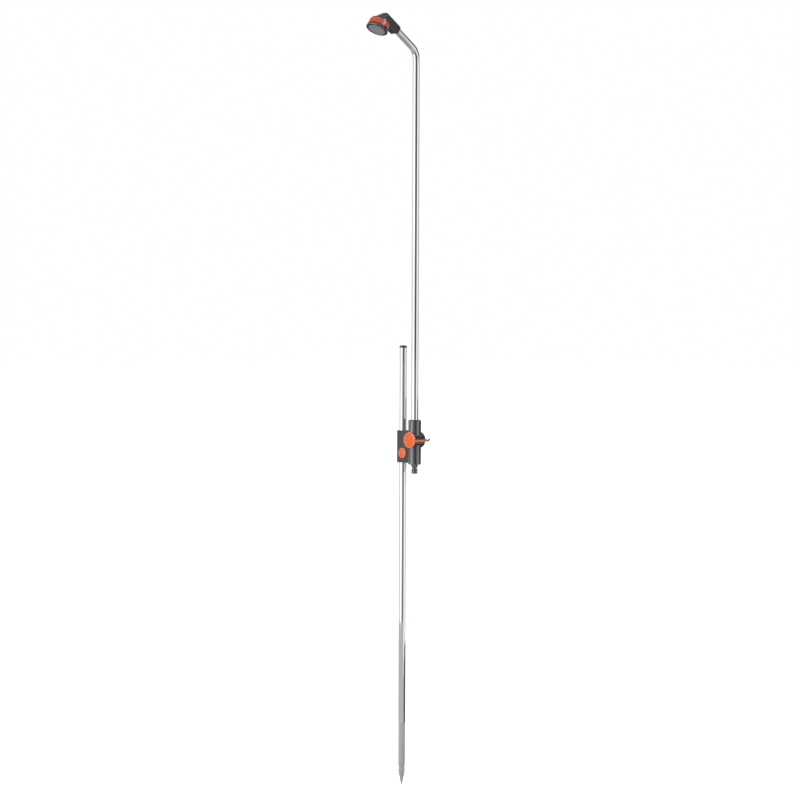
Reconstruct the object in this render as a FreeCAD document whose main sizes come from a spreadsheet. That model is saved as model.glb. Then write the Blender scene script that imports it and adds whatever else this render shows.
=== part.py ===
import FreeCAD, Part

import math
import os

import Sketcher
from FreeCAD import Placement, Rotation, Vector

# Garden shower on a ground spike, in millimetres
# Origin: the soil line on the axis of the ground tube, +Z up
# The spray head looks toward -Y, the riser stands toward +X

# Driving sizes, each one a cell of the spreadsheet
SIZES = {
    # fits
    "running_gap": 0.3,
    "fit_gap": 0.1,
    "bevel": 0.8,
    "small_bevel": 0.4,
    # ground tube, its cap and its spike
    "tube_radius": 10.0,
    "tube_wall": 1.2,
    "ground_tube_length": 1068.8,
    "cap_radius": 10.2,
    "cap_height": 6.5,
    "cap_crown": 1.6,
    "cap_plug_depth": 12.0,
    "spike_radius": 9.7,
    "spike_wall_length": 121.0,
    "spike_waist_radius": 8.6,
    "spike_waist_start": 124.0,
    "spike_waist_end": 134.0,
    "spike_cone_start": 138.0,
    "spike_length": 178.0,
    "spike_tip_radius": 2.0,
    "spike_shank_length": 45.0,
    "rivet_radius": 2.0,
    "rivet_height": 22.0,
    # the two axes that everything on the carriage shares
    "riser_offset": 47.0,
    "valve_height": 809.0,
    # clamp block, its heights measured from the valve's axis
    "block_left": 12.8,
    "block_right": 40.0,
    "block_half_depth": 13.5,
    "block_drop": 65.5,
    "block_rise": 25.4,
    "block_corner": 5.0,
    "block_edge": 0.9,
    "bore_gap": 0.6,
    "bush_length": 8.0,
    "bush_wall": 1.3,
    "bush_lip": 1.2,
    "clamp_screw_offset": 18.2,
    "clamp_screw_margin": 5.2,
    "clamp_screw_middle": 12.0,
    "clamp_screw_radius": 1.6,
    "clamp_screw_depth": 9.0,
    "clamp_head_radius": 2.9,
    "clamp_head_height": 2.2,
    "clamp_head_sink": 0.4,
    "screw_cross_reach": 1.6,
    "screw_cross_half_width": 0.3,
    "screw_cross_depth": 0.9,
    # release button, wedge, jaw and return spring
    "button_offset": 13.4,
    "button_drop": 38.0,
    "button_radius": 14.5,
    "button_thickness": 2.7,
    "button_travel": 3.0,
    "button_rim": 1.2,
    "wedge_ratio": 0.25,
    "wedge_plane": 15.9,
    "wedge_left": 9.4,
    "wedge_right": 22.6,
    "wedge_back": 8.0,
    "wedge_height": 12.0,
    "jaw_half_width": 7.0,
    "jaw_height": 13.0,
    "jaw_left": 6.0,
    "jaw_liner": 1.2,
    "spring_offset": 19.2,
    "spring_drop": 9.6,
    "spring_radius": 2.7,
    "spring_wire": 0.6,
    "rear_wall": 2.0,
    # valve housing
    "barrel_radius": 18.0,
    "barrel_drop": 69.0,
    "barrel_rise": 56.0,
    "barrel_edge": 1.0,
    "skirt_radius": 15.9,
    "skirt_depth": 8.0,
    "cross_radius": 22.6,
    "cross_front": 18.2,
    "cross_back": 22.3,
    "cross_edge": 1.6,
    "waterway_radius": 6.2,
    "ball_radius": 11.5,
    "ball_bore_radius": 6.0,
    "ball_cavity_radius": 12.4,
    "ball_cavity_front": 11.9,
    "seat_radius": 10.4,
    "seat_bore": 6.6,
    "seat_slope": 2.8,
    "seat_near": 7.1,
    "seat_lip": 9.9,
    "seat_far": 13.0,
    "rear_cap_radius": 19.4,
    "rear_cap_thickness": 3.0,
    "rear_cap_slot": 2.4,
    "rear_cap_slot_depth": 1.6,
    "o_ring_section": 0.9,
    "stem_radius": 3.9,
    "stem_root": 8.5,
    "stem_seal_depth": 1.8,
    "drive_half_width": 2.6,
    "riser_socket_depth": 29.0,
    "riser_seal_depth": 9.0,
    "riser_screw_depth": 20.0,
    "riser_screw_radius": 2.0,
    "riser_screw_socket": 1.6,
    # lever knob
    "knob_gap": 0.3,
    "knob_radius": 22.6,
    "knob_thickness": 2.6,
    "knob_rim": 1.2,
    "knob_web": 0.8,
    "knob_hub_radius": 7.5,
    "knob_hub_length": 2.6,
    "knob_cap_radius": 5.5,
    "knob_cap_thickness": 0.8,
    "knob_screw_head": 2.6,
    "knob_screw_height": 0.9,
    "knob_screw_radius": 1.3,
    "knob_screw_length": 6.0,
    "lever_reach": 63.0,
    "lever_half_height": 3.3,
    "lever_root": 18.0,
    "lever_step": 0.6,
    "lever_drop": 1.5,
    "lever_rise": 1.6,
    "lever_corner": 1.2,
    "tab_reach": 79.0,
    "tab_thickness": 2.6,
    "tab_overlap": 4.0,
    "tab_dip": 1.4,
    "tab_curl": 2.6,
    # hose spigot, filter and seal
    "spigot_drop": 26.5,
    "spigot_bore": 4.5,
    "spigot_lip_radius": 8.5,
    "spigot_lip_height": 12.6,
    "spigot_neck_radius": 6.8,
    "spigot_neck_height": 16.8,
    "spigot_cone_radius": 10.6,
    "spigot_cone_height": 25.6,
    "spigot_flange_radius": 13.0,
    "spigot_flange_height": 3.0,
    "spigot_stem_radius": 8.0,
    "spigot_stem_length": 16.0,
    "filter_thickness": 1.6,
    "filter_hole": 1.3,
    "filter_circle": 3.0,
    "seal_thickness": 2.0,
    # riser tube
    "bend_height": 1901.2,
    "bend_angle": 55.7,
    "bend_radius": 46.0,
    "arm_start": 95.1,
    "arm_insert": 28.0,
    # spray head, its turning face
    "head_reach": 155.8,
    "head_rise": 48.7,
    "head_tilt": 28.3,
    "bezel_face_radius": 31.5,
    "bezel_back_radius": 30.2,
    "bezel_length": 9.3,
    "bezel_inner_radius": 24.5,
    "bezel_edge": 1.2,
    "mat_shoulder_radius": 22.4,
    "mat_shoulder_depth": 6.5,
    "plate_radius": 23.6,
    "plate_thickness": 2.2,
    "plate_recess": 0.3,
    "ring_length": 16.7,
    "ring_front_radius": 29.6,
    "ring_shoulder_radius": 29.3,
    "ring_shoulder_length": 7.0,
    "ring_back_radius": 26.6,
    "ring_inner_radius": 25.4,
    "ring_edge": 0.6,
    "rib_width": 1.7,
    "rib_depth": 1.2,
    # spray head, its fixed shell and the bar that takes the arm
    "disc_radius": 26.2,
    "disc_thickness": 2.6,
    "disc_edge": 0.8,
    "bar_half_width": 13.5,
    "bar_foot": 23.1,
    "bar_peak": 4.6,
    "bar_above_arm": 12.0,
    "bar_round": 8.0,
    "bar_peak_round": 9.0,
    "bar_edge": 1.0,
    "bar_under": 1.3,
    "cover_start": 28.7,
    "cover_corner": 2.4,
    "seam_drop": 8.65,
    "seam_bevel": 0.6,
    "head_screw_radius": 1.6,
    "head_screw_offset": 32.3,
    "head_screw_length": 10.8,
    "head_screw_sink": 0.4,
    "chamber_radius": 12.4,
    "chamber_depth": 7.5,
    "duct_radius": 4.0,
    "duct_offset": 9.0,
    "duct_run": 36.0,
    "core_flange": 2.4,
    "core_wall": 1.2,
    "core_lip": 3.0,
    "core_post_radius": 4.5,
    "core_port_radius": 2.2,
    "core_port_offset": 8.2,
    "gasket_width": 1.2,
    "selector_plate_thickness": 3.4,
    "mat_thickness": 1.6,
    "nozzle_root": 1.4,
    "nozzle_stand": 0.6,
    "nozzle_pitch": 6.3,
    "centre_screw_radius": 1.7,
    "centre_screw_head": 4.2,
    "centre_screw_length": 12.0,
    "washer_radius": 8.0,
    "washer_thickness": 1.2,
}

# Spray nozzles stand in rings: six in the first, twelve in the second and so on
NOZZLE_RINGS = (1, 2, 3)
# Finger hollows round the grip ring
RIB_COUNT = 36

document = FreeCAD.newDocument("GardenShower")
sheet = document.addObject("Spreadsheet::Sheet", "Sizes")
for row, (alias, number) in enumerate(SIZES.items(), 1):
    sheet.set(f"A{row}", alias.replace("_", " "))
    sheet.set(f"B{row}", str(number))
    sheet.setAlias(f"B{row}", alias)
document.recompute()


class Size:
    """A number together with the spreadsheet expression that it comes from."""

    def __init__(self, value, formula):
        self.value = value
        self.formula = formula

    def __add__(self, other):
        other = as_size(other)
        return Size(self.value + other.value, f"({self.formula} + {other.formula})")

    def __radd__(self, other):
        return as_size(other) + self

    def __sub__(self, other):
        other = as_size(other)
        return Size(self.value - other.value, f"({self.formula} - {other.formula})")

    def __rsub__(self, other):
        return as_size(other) - self

    def __mul__(self, other):
        other = as_size(other)
        return Size(self.value * other.value, f"({self.formula} * {other.formula})")

    def __rmul__(self, other):
        return as_size(other) * self

    def __neg__(self):
        return as_size(0) - self


def as_size(number):
    if isinstance(number, Size):
        return number
    return Size(float(number), repr(float(number)))


def sine(angle):
    angle = as_size(angle)
    return Size(math.sin(math.radians(angle.value)), f"sin({angle.formula})")


def cosine(angle):
    angle = as_size(angle)
    return Size(math.cos(math.radians(angle.value)), f"cos({angle.formula})")


def tangent(angle):
    angle = as_size(angle)
    return Size(math.tan(math.radians(angle.value)), f"tan({angle.formula})")


class SheetSizes:
    """Reads a cell of the sheet by its alias."""

    def __getattr__(self, alias):
        return Size(float(getattr(sheet, alias)), f"Sizes.{alias}")


size = SheetSizes()

# Heights on the carriage, all of them measured from the valve's axis
block_bottom = size.valve_height - size.block_drop
block_top = size.valve_height + size.block_rise
button_height = size.valve_height - size.button_drop
barrel_bottom = size.valve_height - size.barrel_drop
barrel_top = size.valve_height + size.barrel_rise
spigot_bottom = barrel_bottom - size.spigot_drop


def bind(thing, field, value):
    thing.setExpression(field, as_size(value).formula)


def place(thing, x=0, y=0, z=0, tilt=None):
    """Puts a sub-part at x, y, z, turned about the X axis by the angle tilt."""
    if tilt is not None:
        thing.Placement.Rotation = Rotation(Vector(1, 0, 0), as_size(tilt).value)
        bind(thing, ".Placement.Rotation.Angle", tilt)
    for axis, value in (("x", x), ("y", y), ("z", z)):
        bind(thing, f".Placement.Base.{axis}", value)


def new_body(label):
    body = document.addObject("PartDesign::Body", label)
    body.Label = label
    return body


def new_sketch(body, plane_role, offset=0):
    sketch = body.newObject("Sketcher::SketchObject", f"{body.Label}_sketch")
    plane = [part for part in body.Origin.OriginFeatures if part.Role == plane_role][0]
    sketch.AttachmentSupport = [(plane, "")]
    sketch.MapMode = "FlatFace"
    bind(sketch, ".AttachmentOffset.Base.z", offset)
    return sketch


def draw_outline(sketch, corners):
    """Closed outline whose corners are tied to the sheet."""
    corners = [(as_size(x), as_size(y)) for x, y in corners]
    first = sketch.GeometryCount
    for (x, y), (next_x, next_y) in zip(corners, corners[1:] + corners[:1]):
        start = Vector(x.value, y.value, 0)
        end = Vector(next_x.value, next_y.value, 0)
        sketch.addGeometry(Part.LineSegment(start, end), False)
    for index in range(len(corners)):
        following = first + (index + 1) % len(corners)
        sketch.addConstraint(Sketcher.Constraint("Coincident", first + index, 2, following, 1))
    for index, corner in enumerate(corners):
        for kind, value in zip(("DistanceX", "DistanceY"), corner):
            tie = Sketcher.Constraint(kind, -1, 1, first + index, 1, value.value)
            number = sketch.addConstraint(tie)
            bind(sketch, f"Constraints[{number}]", value)


def draw_circle(sketch, x, y, radius):
    x, y, radius = as_size(x), as_size(y), as_size(radius)
    circle = Part.Circle(Vector(x.value, y.value, 0), Vector(0, 0, 1), radius.value)
    edge = sketch.addGeometry(circle, False)
    for kind, value in (("DistanceX", x), ("DistanceY", y)):
        number = sketch.addConstraint(Sketcher.Constraint(kind, -1, 1, edge, 3, value.value))
        bind(sketch, f"Constraints[{number}]", value)
    number = sketch.addConstraint(Sketcher.Constraint("Radius", edge, radius.value))
    bind(sketch, f"Constraints[{number}]", radius)


def draw_polygon(sketch, x, y, radius, sides):
    """Regular outline round x, y whose corners lie at the given radius."""
    corners = []
    for step in range(sides):
        turn = 360 * (step + 0.5) / sides
        corners.append((x + radius * cosine(turn), y + radius * sine(turn)))
    draw_outline(sketch, corners)


def revolve(body, corners, cut=False):
    """Turns an outline of (radius, height) corners about the body's Z axis."""
    sketch = new_sketch(body, "XZ_Plane")
    draw_outline(sketch, corners)
    kind = "PartDesign::Groove" if cut else "PartDesign::Revolution"
    feature = body.newObject(kind, f"{body.Label}_turned")
    feature.Profile = sketch
    feature.ReferenceAxis = (sketch, ["V_Axis"])
    feature.Angle = 360
    return feature


def pad(body, sketch, length, reverse=False, both_ways=False):
    feature = body.newObject("PartDesign::Pad", f"{body.Label}_pad")
    feature.Profile = sketch
    bind(feature, "Length", length)
    feature.Reversed = reverse
    feature.Midplane = both_ways
    return feature


def pocket(body, sketch, length, reverse=False, both_ways=False):
    feature = body.newObject("PartDesign::Pocket", f"{body.Label}_pocket")
    feature.Profile = sketch
    bind(feature, "Length", length)
    feature.Reversed = reverse
    feature.Midplane = both_ways
    return feature


# Turns that lay a cylinder, which starts along +Z, along another axis
ALONG = {
    "+Z": Rotation(),
    "-Z": Rotation(Vector(1, 0, 0), 180),
    "-Y": Rotation(Vector(1, 0, 0), 90),
    "+Y": Rotation(Vector(1, 0, 0), -90),
    "+X": Rotation(Vector(0, 1, 0), 90),
}


def rod(body, radius, length, x=0, y=0, z=0, along="+Z", cut=False):
    """Adds a round rod to the body, or drills it away, from x, y, z."""
    kind = "PartDesign::SubtractiveCylinder" if cut else "PartDesign::AdditiveCylinder"
    feature = body.newObject(kind, f"{body.Label}_rod")
    bind(feature, "Radius", radius)
    bind(feature, "Height", length)
    feature.Placement = Placement(Vector(), ALONG[along])
    for axis, value in (("x", x), ("y", y), ("z", z)):
        bind(feature, f".Placement.Base.{axis}", value)
    return feature


def slot(body, x, y, z):
    """Cuts a straight-sided space, each range given as (low, high)."""
    feature = body.newObject("PartDesign::SubtractiveBox", f"{body.Label}_slot")
    for axis, side, (low, high) in zip("xyz", ("Length", "Width", "Height"), (x, y, z)):
        bind(feature, side, as_size(high) - low)
        bind(feature, f".Placement.Base.{axis}", low)
    return feature


def repeat_round(body, feature, count):
    """Repeats a feature round the body's Z axis."""
    pattern = body.newObject("PartDesign::PolarPattern", f"{body.Label}_pattern")
    axis = [part for part in body.Origin.OriginFeatures if part.Role == "Z_Axis"][0]
    pattern.Originals = [feature]
    pattern.Axis = (axis, [""])
    pattern.Angle = 360
    pattern.Occurrences = count
    body.Tip = pattern
    return pattern


def near(first, second):
    return abs(first - second) < 0.01


def edges_of(body, wanted):
    """Names of the edges of the body so far for which wanted(edge) holds."""
    document.recompute()
    edges = body.Tip.Shape.Edges
    return [f"Edge{number}" for number, edge in enumerate(edges, 1) if wanted(edge)]


def dress(body, kind, wanted, amount):
    """Rounds (Fillet) or bevels (Chamfer) the wanted edges."""
    names = edges_of(body, wanted)
    feature = body.newObject(f"PartDesign::{kind}", f"{body.Label}_{kind.lower()}")
    feature.Base = (body.Tip if body.Tip != feature else feature.BaseFeature, names)
    bind(feature, "Radius" if kind == "Fillet" else "Size", amount)
    body.Tip = feature
    return feature


def is_circle(edge, radius, height=None, axis=2):
    """True for a round edge of this radius, at this height along the given axis."""
    if edge.Degenerated or edge.Curve.TypeId != "Part::GeomCircle":
        return False
    if not near(edge.Curve.Radius, radius.value):
        return False
    return height is None or near(edge.Curve.Center[axis], as_size(height).value)


def is_upright(edge, x, y):
    """True for a straight edge along Z through x, y."""
    box = edge.BoundBox
    if box.ZLength < 1 or box.XLength > 0.01 or box.YLength > 0.01:
        return False
    return near(box.XMin, as_size(x).value) and near(box.YMin, as_size(y).value)


def o_ring(label, radius, x, y, z, tilt=None):
    """A seal ring whose inside lies at the given radius, its section eight-sided."""
    body = new_body(label)
    section = size.o_ring_section
    corners = []
    for step in range(8):
        turn = 22.5 + 45 * step
        corners.append((radius + section + section * cosine(turn), section * sine(turn)))
    revolve(body, corners)
    place(body, x, y, z, tilt)
    return body


tube_bore = size.tube_radius - size.tube_wall


def make_ground_tube():
    body = new_body("ground_tube")
    revolve(body, [
        (tube_bore, 0),
        (size.tube_radius, 0),
        (size.tube_radius, size.ground_tube_length),
        (tube_bore, size.ground_tube_length),
    ])
    rod(body, size.rivet_radius, 2 * size.tube_radius + 2, y=size.tube_radius + 1,
        z=size.rivet_height, along="-Y", cut=True)
    return body


def make_top_cap():
    """Push-in plug with a low crowned head."""
    body = new_body("top_cap")
    top = size.ground_tube_length
    plug = tube_bore - size.fit_gap
    revolve(body, [
        (0, top - size.cap_plug_depth),
        (plug - size.bevel, top - size.cap_plug_depth),
        (plug, top - size.cap_plug_depth + 2 * size.bevel),
        (plug, top),
        (size.cap_radius, top),
        (size.cap_radius, top + size.cap_height - size.cap_crown),
        (size.cap_radius - size.cap_crown, top + size.cap_height - size.small_bevel),
        (size.cap_radius * 0.5, top + size.cap_height),
        (0, top + size.cap_height),
    ])
    return body


def make_ground_spike():
    """Spike with a plain wall, a waist and a cone, held in the tube by its shank."""
    body = new_body("ground_spike")
    shank = tube_bore - size.fit_gap
    revolve(body, [
        (0, size.spike_shank_length),
        (shank - size.bevel, size.spike_shank_length),
        (shank, size.spike_shank_length - 2 * size.bevel),
        (shank, 0),
        (size.spike_radius, 0),
        (size.spike_radius, -size.spike_wall_length),
        (size.spike_waist_radius, -size.spike_waist_start),
        (size.spike_waist_radius, -size.spike_waist_end),
        (size.spike_radius, -size.spike_waist_end - 2 * size.bevel),
        (size.spike_radius, -size.spike_cone_start),
        (size.spike_tip_radius, size.bevel - size.spike_length),
        (size.spike_tip_radius * 0.5, -size.spike_length),
        (0, -size.spike_length),
    ])
    rod(body, size.rivet_radius, 2 * size.tube_radius + 2, y=size.tube_radius + 1,
        z=size.rivet_height, along="-Y", cut=True)
    return body


def make_spike_rivet():
    body = new_body("spike_rivet")
    length = 2 * size.tube_radius
    rod(body, size.rivet_radius, length, z=-size.tube_radius)
    place(body, z=size.rivet_height, tilt=90)
    return body


guide_bore = size.tube_radius + size.running_gap
block_bore = size.tube_radius + size.bore_gap
bush_radius = guide_bore + size.bush_wall


def on_outside(edge):
    """True for the level edges of a block half that show in the finished block."""
    box = edge.BoundBox
    inner_face = box.YLength < 0.01 and near(box.YMin, 0)
    barrel_side = box.XLength < 0.01 and near(box.XMin, size.block_right.value)
    return box.ZLength < 0.01 and not inner_face and not barrel_side


def on_split(edge):
    """True for the edges of a block half that show where the two halves meet."""
    box = edge.BoundBox
    inner_face = box.YLength < 0.01 and near(box.YMin, 0)
    barrel_side = box.XLength < 0.01 and near(box.XMin, size.block_right.value)
    return inner_face and not barrel_side


def block_half(label, front):
    """One half of the clamp block, split on the plane through the tube's axis."""
    body = new_body(label)
    side = -1 if front else 1
    face = side * size.block_half_depth
    sketch = new_sketch(body, "XY_Plane", block_bottom)
    corners = [(-size.block_left, 0), (-size.block_left, face),
               (size.block_right, face), (size.block_right, 0)]
    draw_outline(sketch, corners if front else corners[::-1])
    pad(body, sketch, block_top - block_bottom)
    dress(body, "Fillet", lambda edge: is_upright(edge, -size.block_left, face), size.block_corner)
    dress(body, "Chamfer", on_outside, size.block_edge)
    dress(body, "Chamfer", on_split, size.small_bevel)
    rod(body, size.barrel_radius, barrel_top - barrel_bottom,
        x=size.riser_offset, z=barrel_bottom, cut=True)
    rod(body, size.cross_radius, size.cross_front + size.cross_back, x=size.riser_offset,
        y=size.cross_back, z=size.valve_height, along="-Y", cut=True)
    rod(body, block_bore, block_top - block_bottom + 2,
        z=block_bottom - 1, cut=True)
    for low in (block_bottom + size.bush_lip,
                block_top - size.bush_lip - size.bush_length):
        rod(body, bush_radius, size.bush_length, z=low, cut=True)
    return body


jaw_low = button_height - size.jaw_height * 0.5
jaw_high = button_height + size.jaw_height * 0.5
wedge_low = button_height - size.wedge_height * 0.5
wedge_high = button_height + size.wedge_height * 0.5
jaw_travel = size.button_travel * size.wedge_ratio
button_face = size.block_half_depth + size.button_thickness + size.fit_gap
cavity_right = size.wedge_right + size.running_gap
cavity_back = size.wedge_back + size.button_travel + size.running_gap
pocket_depth = size.button_travel + size.fit_gap
spring_height = button_height - size.spring_drop
screw_heights = (block_bottom + size.clamp_screw_margin,
                 size.valve_height - size.clamp_screw_middle,
                 block_top - size.clamp_screw_margin)


# half sizes of the two arms of a screw's cross drive
cross_arms = (
    (size.screw_cross_reach, size.screw_cross_half_width),
    (size.screw_cross_half_width, size.screw_cross_reach),
)


def make_clamp_front_shell():
    body = block_half("clamp_front_shell", True)
    rod(body, size.button_radius + size.running_gap, pocket_depth, x=size.button_offset,
        y=pocket_depth - size.block_half_depth, z=button_height, along="-Y", cut=True)
    slot(body, (size.jaw_left, cavity_right),
         (-size.jaw_half_width - size.running_gap, 0),
         (jaw_low - size.running_gap, jaw_high + size.running_gap))
    slot(body, (size.button_offset, cavity_right),
         (-size.block_half_depth, 0),
         (wedge_low - size.running_gap, wedge_high + size.running_gap))
    rod(body, size.spring_radius + size.running_gap, size.block_half_depth,
        x=size.spring_offset, y=0, z=spring_height, along="-Y", cut=True)
    for height in screw_heights:
        rod(body, size.clamp_screw_radius, size.clamp_screw_depth,
            x=size.clamp_screw_offset, z=height, along="-Y", cut=True)
    return body


def make_clamp_rear_cover():
    body = block_half("clamp_rear_cover", False)
    slot(body, (size.jaw_left, cavity_right),
         (0, size.jaw_half_width + size.running_gap),
         (jaw_low - size.running_gap, jaw_high + size.running_gap))
    slot(body, (size.wedge_left, cavity_right), (0, cavity_back),
         (wedge_low - size.running_gap, wedge_high + size.running_gap))
    rod(body, size.spring_radius + size.running_gap, size.block_half_depth - size.rear_wall,
        x=size.spring_offset, z=spring_height, along="+Y", cut=True)
    for height in screw_heights:
        rod(body, size.clamp_screw_radius, size.block_half_depth + 1,
            x=size.clamp_screw_offset, z=height, along="+Y", cut=True)
        rod(body, size.clamp_head_radius, size.clamp_head_height + size.clamp_head_sink,
            x=size.clamp_screw_offset, y=size.block_half_depth, z=height, along="-Y", cut=True)
    return body


def make_clamp_screws():
    """Three pan-head screws that draw the rear cover onto the front shell."""
    body = new_body("clamp_screws")
    body.AllowCompound = True
    head_face = size.block_half_depth - size.clamp_head_sink
    for height in screw_heights:
        rod(body, size.clamp_head_radius, size.clamp_head_height,
            x=size.clamp_screw_offset, y=head_face, z=height, along="-Y")
        rod(body, size.clamp_screw_radius, head_face + size.clamp_screw_depth,
            x=size.clamp_screw_offset, y=head_face, z=height, along="-Y")
    depth = (head_face - size.screw_cross_depth, head_face + size.screw_cross_depth)
    for height in screw_heights:
        for wide, high in cross_arms:
            slot(body, (size.clamp_screw_offset - wide, size.clamp_screw_offset + wide),
                 depth, (height - high, height + high))
    return body


def make_guide_bush(label, low):
    body = new_body(label)
    revolve(body, [
        (guide_bore, 0),
        (bush_radius, 0),
        (bush_radius, size.bush_length),
        (guide_bore, size.bush_length),
    ])
    place(body, z=low)
    return body


def make_clamp_jaw():
    """Sliding jaw: hollow toward the tube, sloped toward the wedge."""
    body = new_body("clamp_jaw")
    sketch = new_sketch(body, "XY_Plane", jaw_low)
    half = size.jaw_half_width
    draw_outline(sketch, [
        (size.jaw_left, -half),
        (size.wedge_plane + half * size.wedge_ratio, -half),
        (size.wedge_plane - half * size.wedge_ratio, half),
        (size.jaw_left, half),
    ])
    pad(body, sketch, size.jaw_height)
    rod(body, guide_bore + size.jaw_liner, size.jaw_height + 2, z=jaw_low - 1, cut=True)
    return body


def make_jaw_liner():
    """Rubber pad on the hollow of the jaw."""
    body = new_body("jaw_liner")
    sketch = new_sketch(body, "XY_Plane", jaw_low)
    half = size.jaw_half_width
    draw_outline(sketch, [
        (size.jaw_left, -half),
        (guide_bore + size.jaw_liner, -half),
        (guide_bore + size.jaw_liner, half),
        (size.jaw_left, half),
    ])
    pad(body, sketch, size.jaw_height)
    rod(body, guide_bore, size.jaw_height + 2, z=jaw_low - 1, cut=True)
    outside = new_sketch(body, "XY_Plane", jaw_low)
    draw_circle(outside, 0, 0, guide_bore + size.jaw_liner)
    draw_circle(outside, 0, 0, size.block_half_depth)
    pocket(body, outside, size.jaw_height, reverse=True)
    return body


def make_button_wedge():
    """Steel wedge behind the button: pushed in, it lets the jaw go."""
    body = new_body("button_wedge")
    sketch = new_sketch(body, "XY_Plane", wedge_low)
    front = -size.block_half_depth - size.fit_gap
    plane = size.wedge_plane + size.fit_gap
    draw_outline(sketch, [
        (plane - front * size.wedge_ratio, front),
        (size.wedge_right, front),
        (size.wedge_right, size.wedge_back),
        (plane - size.wedge_back * size.wedge_ratio, size.wedge_back),
    ])
    pad(body, sketch, size.wedge_height)
    return body


def make_release_button():
    """Round push button, its face slightly crowned inside a rounded rim."""
    body = new_body("release_button")
    back = size.block_half_depth + size.fit_gap
    revolve(body, [
        (0, back),
        (size.button_radius, back),
        (size.button_radius, button_face - size.button_rim),
        (size.button_radius - size.button_rim * 0.35, button_face - size.button_rim * 0.35),
        (size.button_radius - size.button_rim, button_face),
        (0, button_face),
    ])
    place(body, x=size.button_offset, z=button_height, tilt=90)
    return body


def make_button_spring():
    """Return spring, drawn as a sleeve over the space of its closed coils."""
    body = new_body("button_spring")
    inner = size.spring_radius - size.spring_wire
    rear = size.block_half_depth - size.rear_wall
    front = size.block_half_depth + size.fit_gap
    revolve(body, [
        (inner, -rear),
        (size.spring_radius, -rear),
        (size.spring_radius, front),
        (inner, front),
    ])
    place(body, x=size.spring_offset, z=spring_height, tilt=90)
    return body


stem_bore = size.stem_radius + size.running_gap
socket_bottom = barrel_top - size.riser_socket_depth
spigot_seat = barrel_bottom + size.skirt_depth
spigot_stem_top = spigot_seat + size.spigot_stem_length
filter_top = spigot_stem_top + size.filter_thickness
seal_top = filter_top + size.seal_thickness
knob_base = size.cross_front + size.knob_gap
knob_face = knob_base + size.knob_thickness
hub_base = knob_base - size.knob_hub_length
hub_seat = hub_base - size.running_gap
stem_end = knob_face - size.knob_cap_thickness - size.knob_screw_height - size.knob_web
rear_cap_face = size.cross_back - size.rear_cap_thickness


def make_valve_housing():
    """Upright barrel crossed by the valve barrel, bored for the water and the ball."""
    body = new_body("valve_housing")
    revolve(body, [
        (0, spigot_seat),
        (size.skirt_radius, spigot_seat),
        (size.skirt_radius, barrel_bottom),
        (size.barrel_radius, barrel_bottom),
        (size.barrel_radius, barrel_top),
        (0, barrel_top),
    ])
    rod(body, size.cross_radius, size.cross_front + size.cross_back,
        y=size.cross_back, z=size.valve_height, along="-Y")
    dress(body, "Chamfer", lambda edge: is_circle(edge, size.cross_radius, size.cross_back, 1),
          size.cross_edge)
    dress(body, "Chamfer", lambda edge: is_circle(edge, size.barrel_radius, barrel_top),
          size.barrel_edge)
    rod(body, size.waterway_radius, barrel_top - spigot_seat, z=spigot_seat, cut=True)
    rod(body, size.spigot_stem_radius, seal_top - spigot_seat, z=spigot_seat, cut=True)
    rod(body, size.tube_radius, size.riser_socket_depth, z=socket_bottom, cut=True)
    groove = size.tube_radius + 2 * size.o_ring_section
    rod(body, groove, 2 * size.o_ring_section,
        z=barrel_top - size.riser_seal_depth - size.o_ring_section, cut=True)
    rod(body, size.seat_radius, 2 * size.seat_far, z=size.valve_height - size.seat_far, cut=True)
    rod(body, size.ball_cavity_radius, size.ball_cavity_front + rear_cap_face,
        y=rear_cap_face, z=size.valve_height, along="-Y", cut=True)
    rod(body, size.rear_cap_radius, size.rear_cap_thickness + 1, y=size.cross_back + 1,
        z=size.valve_height, along="-Y", cut=True)
    rod(body, stem_bore, size.cross_front, z=size.valve_height, along="-Y", cut=True)
    rod(body, stem_bore + 2 * size.o_ring_section, size.cross_front,
        y=size.stem_seal_depth - hub_seat, z=size.valve_height, along="-Y", cut=True)
    rod(body, size.knob_hub_radius + size.running_gap, size.cross_front, y=-hub_seat,
        z=size.valve_height, along="-Y", cut=True)
    rod(body, size.riser_screw_radius, size.barrel_radius + 1,
        z=barrel_top - size.riser_screw_depth, along="+Y", cut=True)
    place(body, x=size.riser_offset)
    return body


def make_valve_rear_cap():
    """Screw cap behind the ball, with a slot for a key."""
    body = new_body("valve_rear_cap")
    gap = size.fit_gap
    nose = size.ball_cavity_front
    revolve(body, [
        (0, nose),
        (size.ball_cavity_radius - gap, nose),
        (size.ball_cavity_radius - gap, rear_cap_face),
        (size.rear_cap_radius - gap, rear_cap_face),
        (size.rear_cap_radius - gap, size.cross_back - size.small_bevel),
        (size.rear_cap_radius - gap - size.small_bevel, size.cross_back),
        (0, size.cross_back),
    ])
    half = size.rear_cap_slot * 0.5
    slot(body, (-size.rear_cap_radius * 0.5, size.rear_cap_radius * 0.5),
         (-half, half), (size.cross_back - size.rear_cap_slot_depth, size.cross_back + 1))
    place(body, x=size.riser_offset, z=size.valve_height, tilt=-90)
    return body


def make_valve_ball():
    """Ball with its water bore across, which is how it stands when shut."""
    body = new_body("valve_ball")
    radius = size.ball_radius
    arc = [(radius * cosine(turn), radius * sine(turn)) for turn in range(-75, 90, 15)]
    revolve(body, [(0, -radius)] + arc + [(0, radius)])
    rod(body, size.ball_bore_radius, 2 * radius, x=-radius, along="+X", cut=True)
    rod(body, size.stem_radius, radius, z=size.stem_root, cut=True)
    place(body, x=size.riser_offset, z=size.valve_height, tilt=90)
    return body


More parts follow.
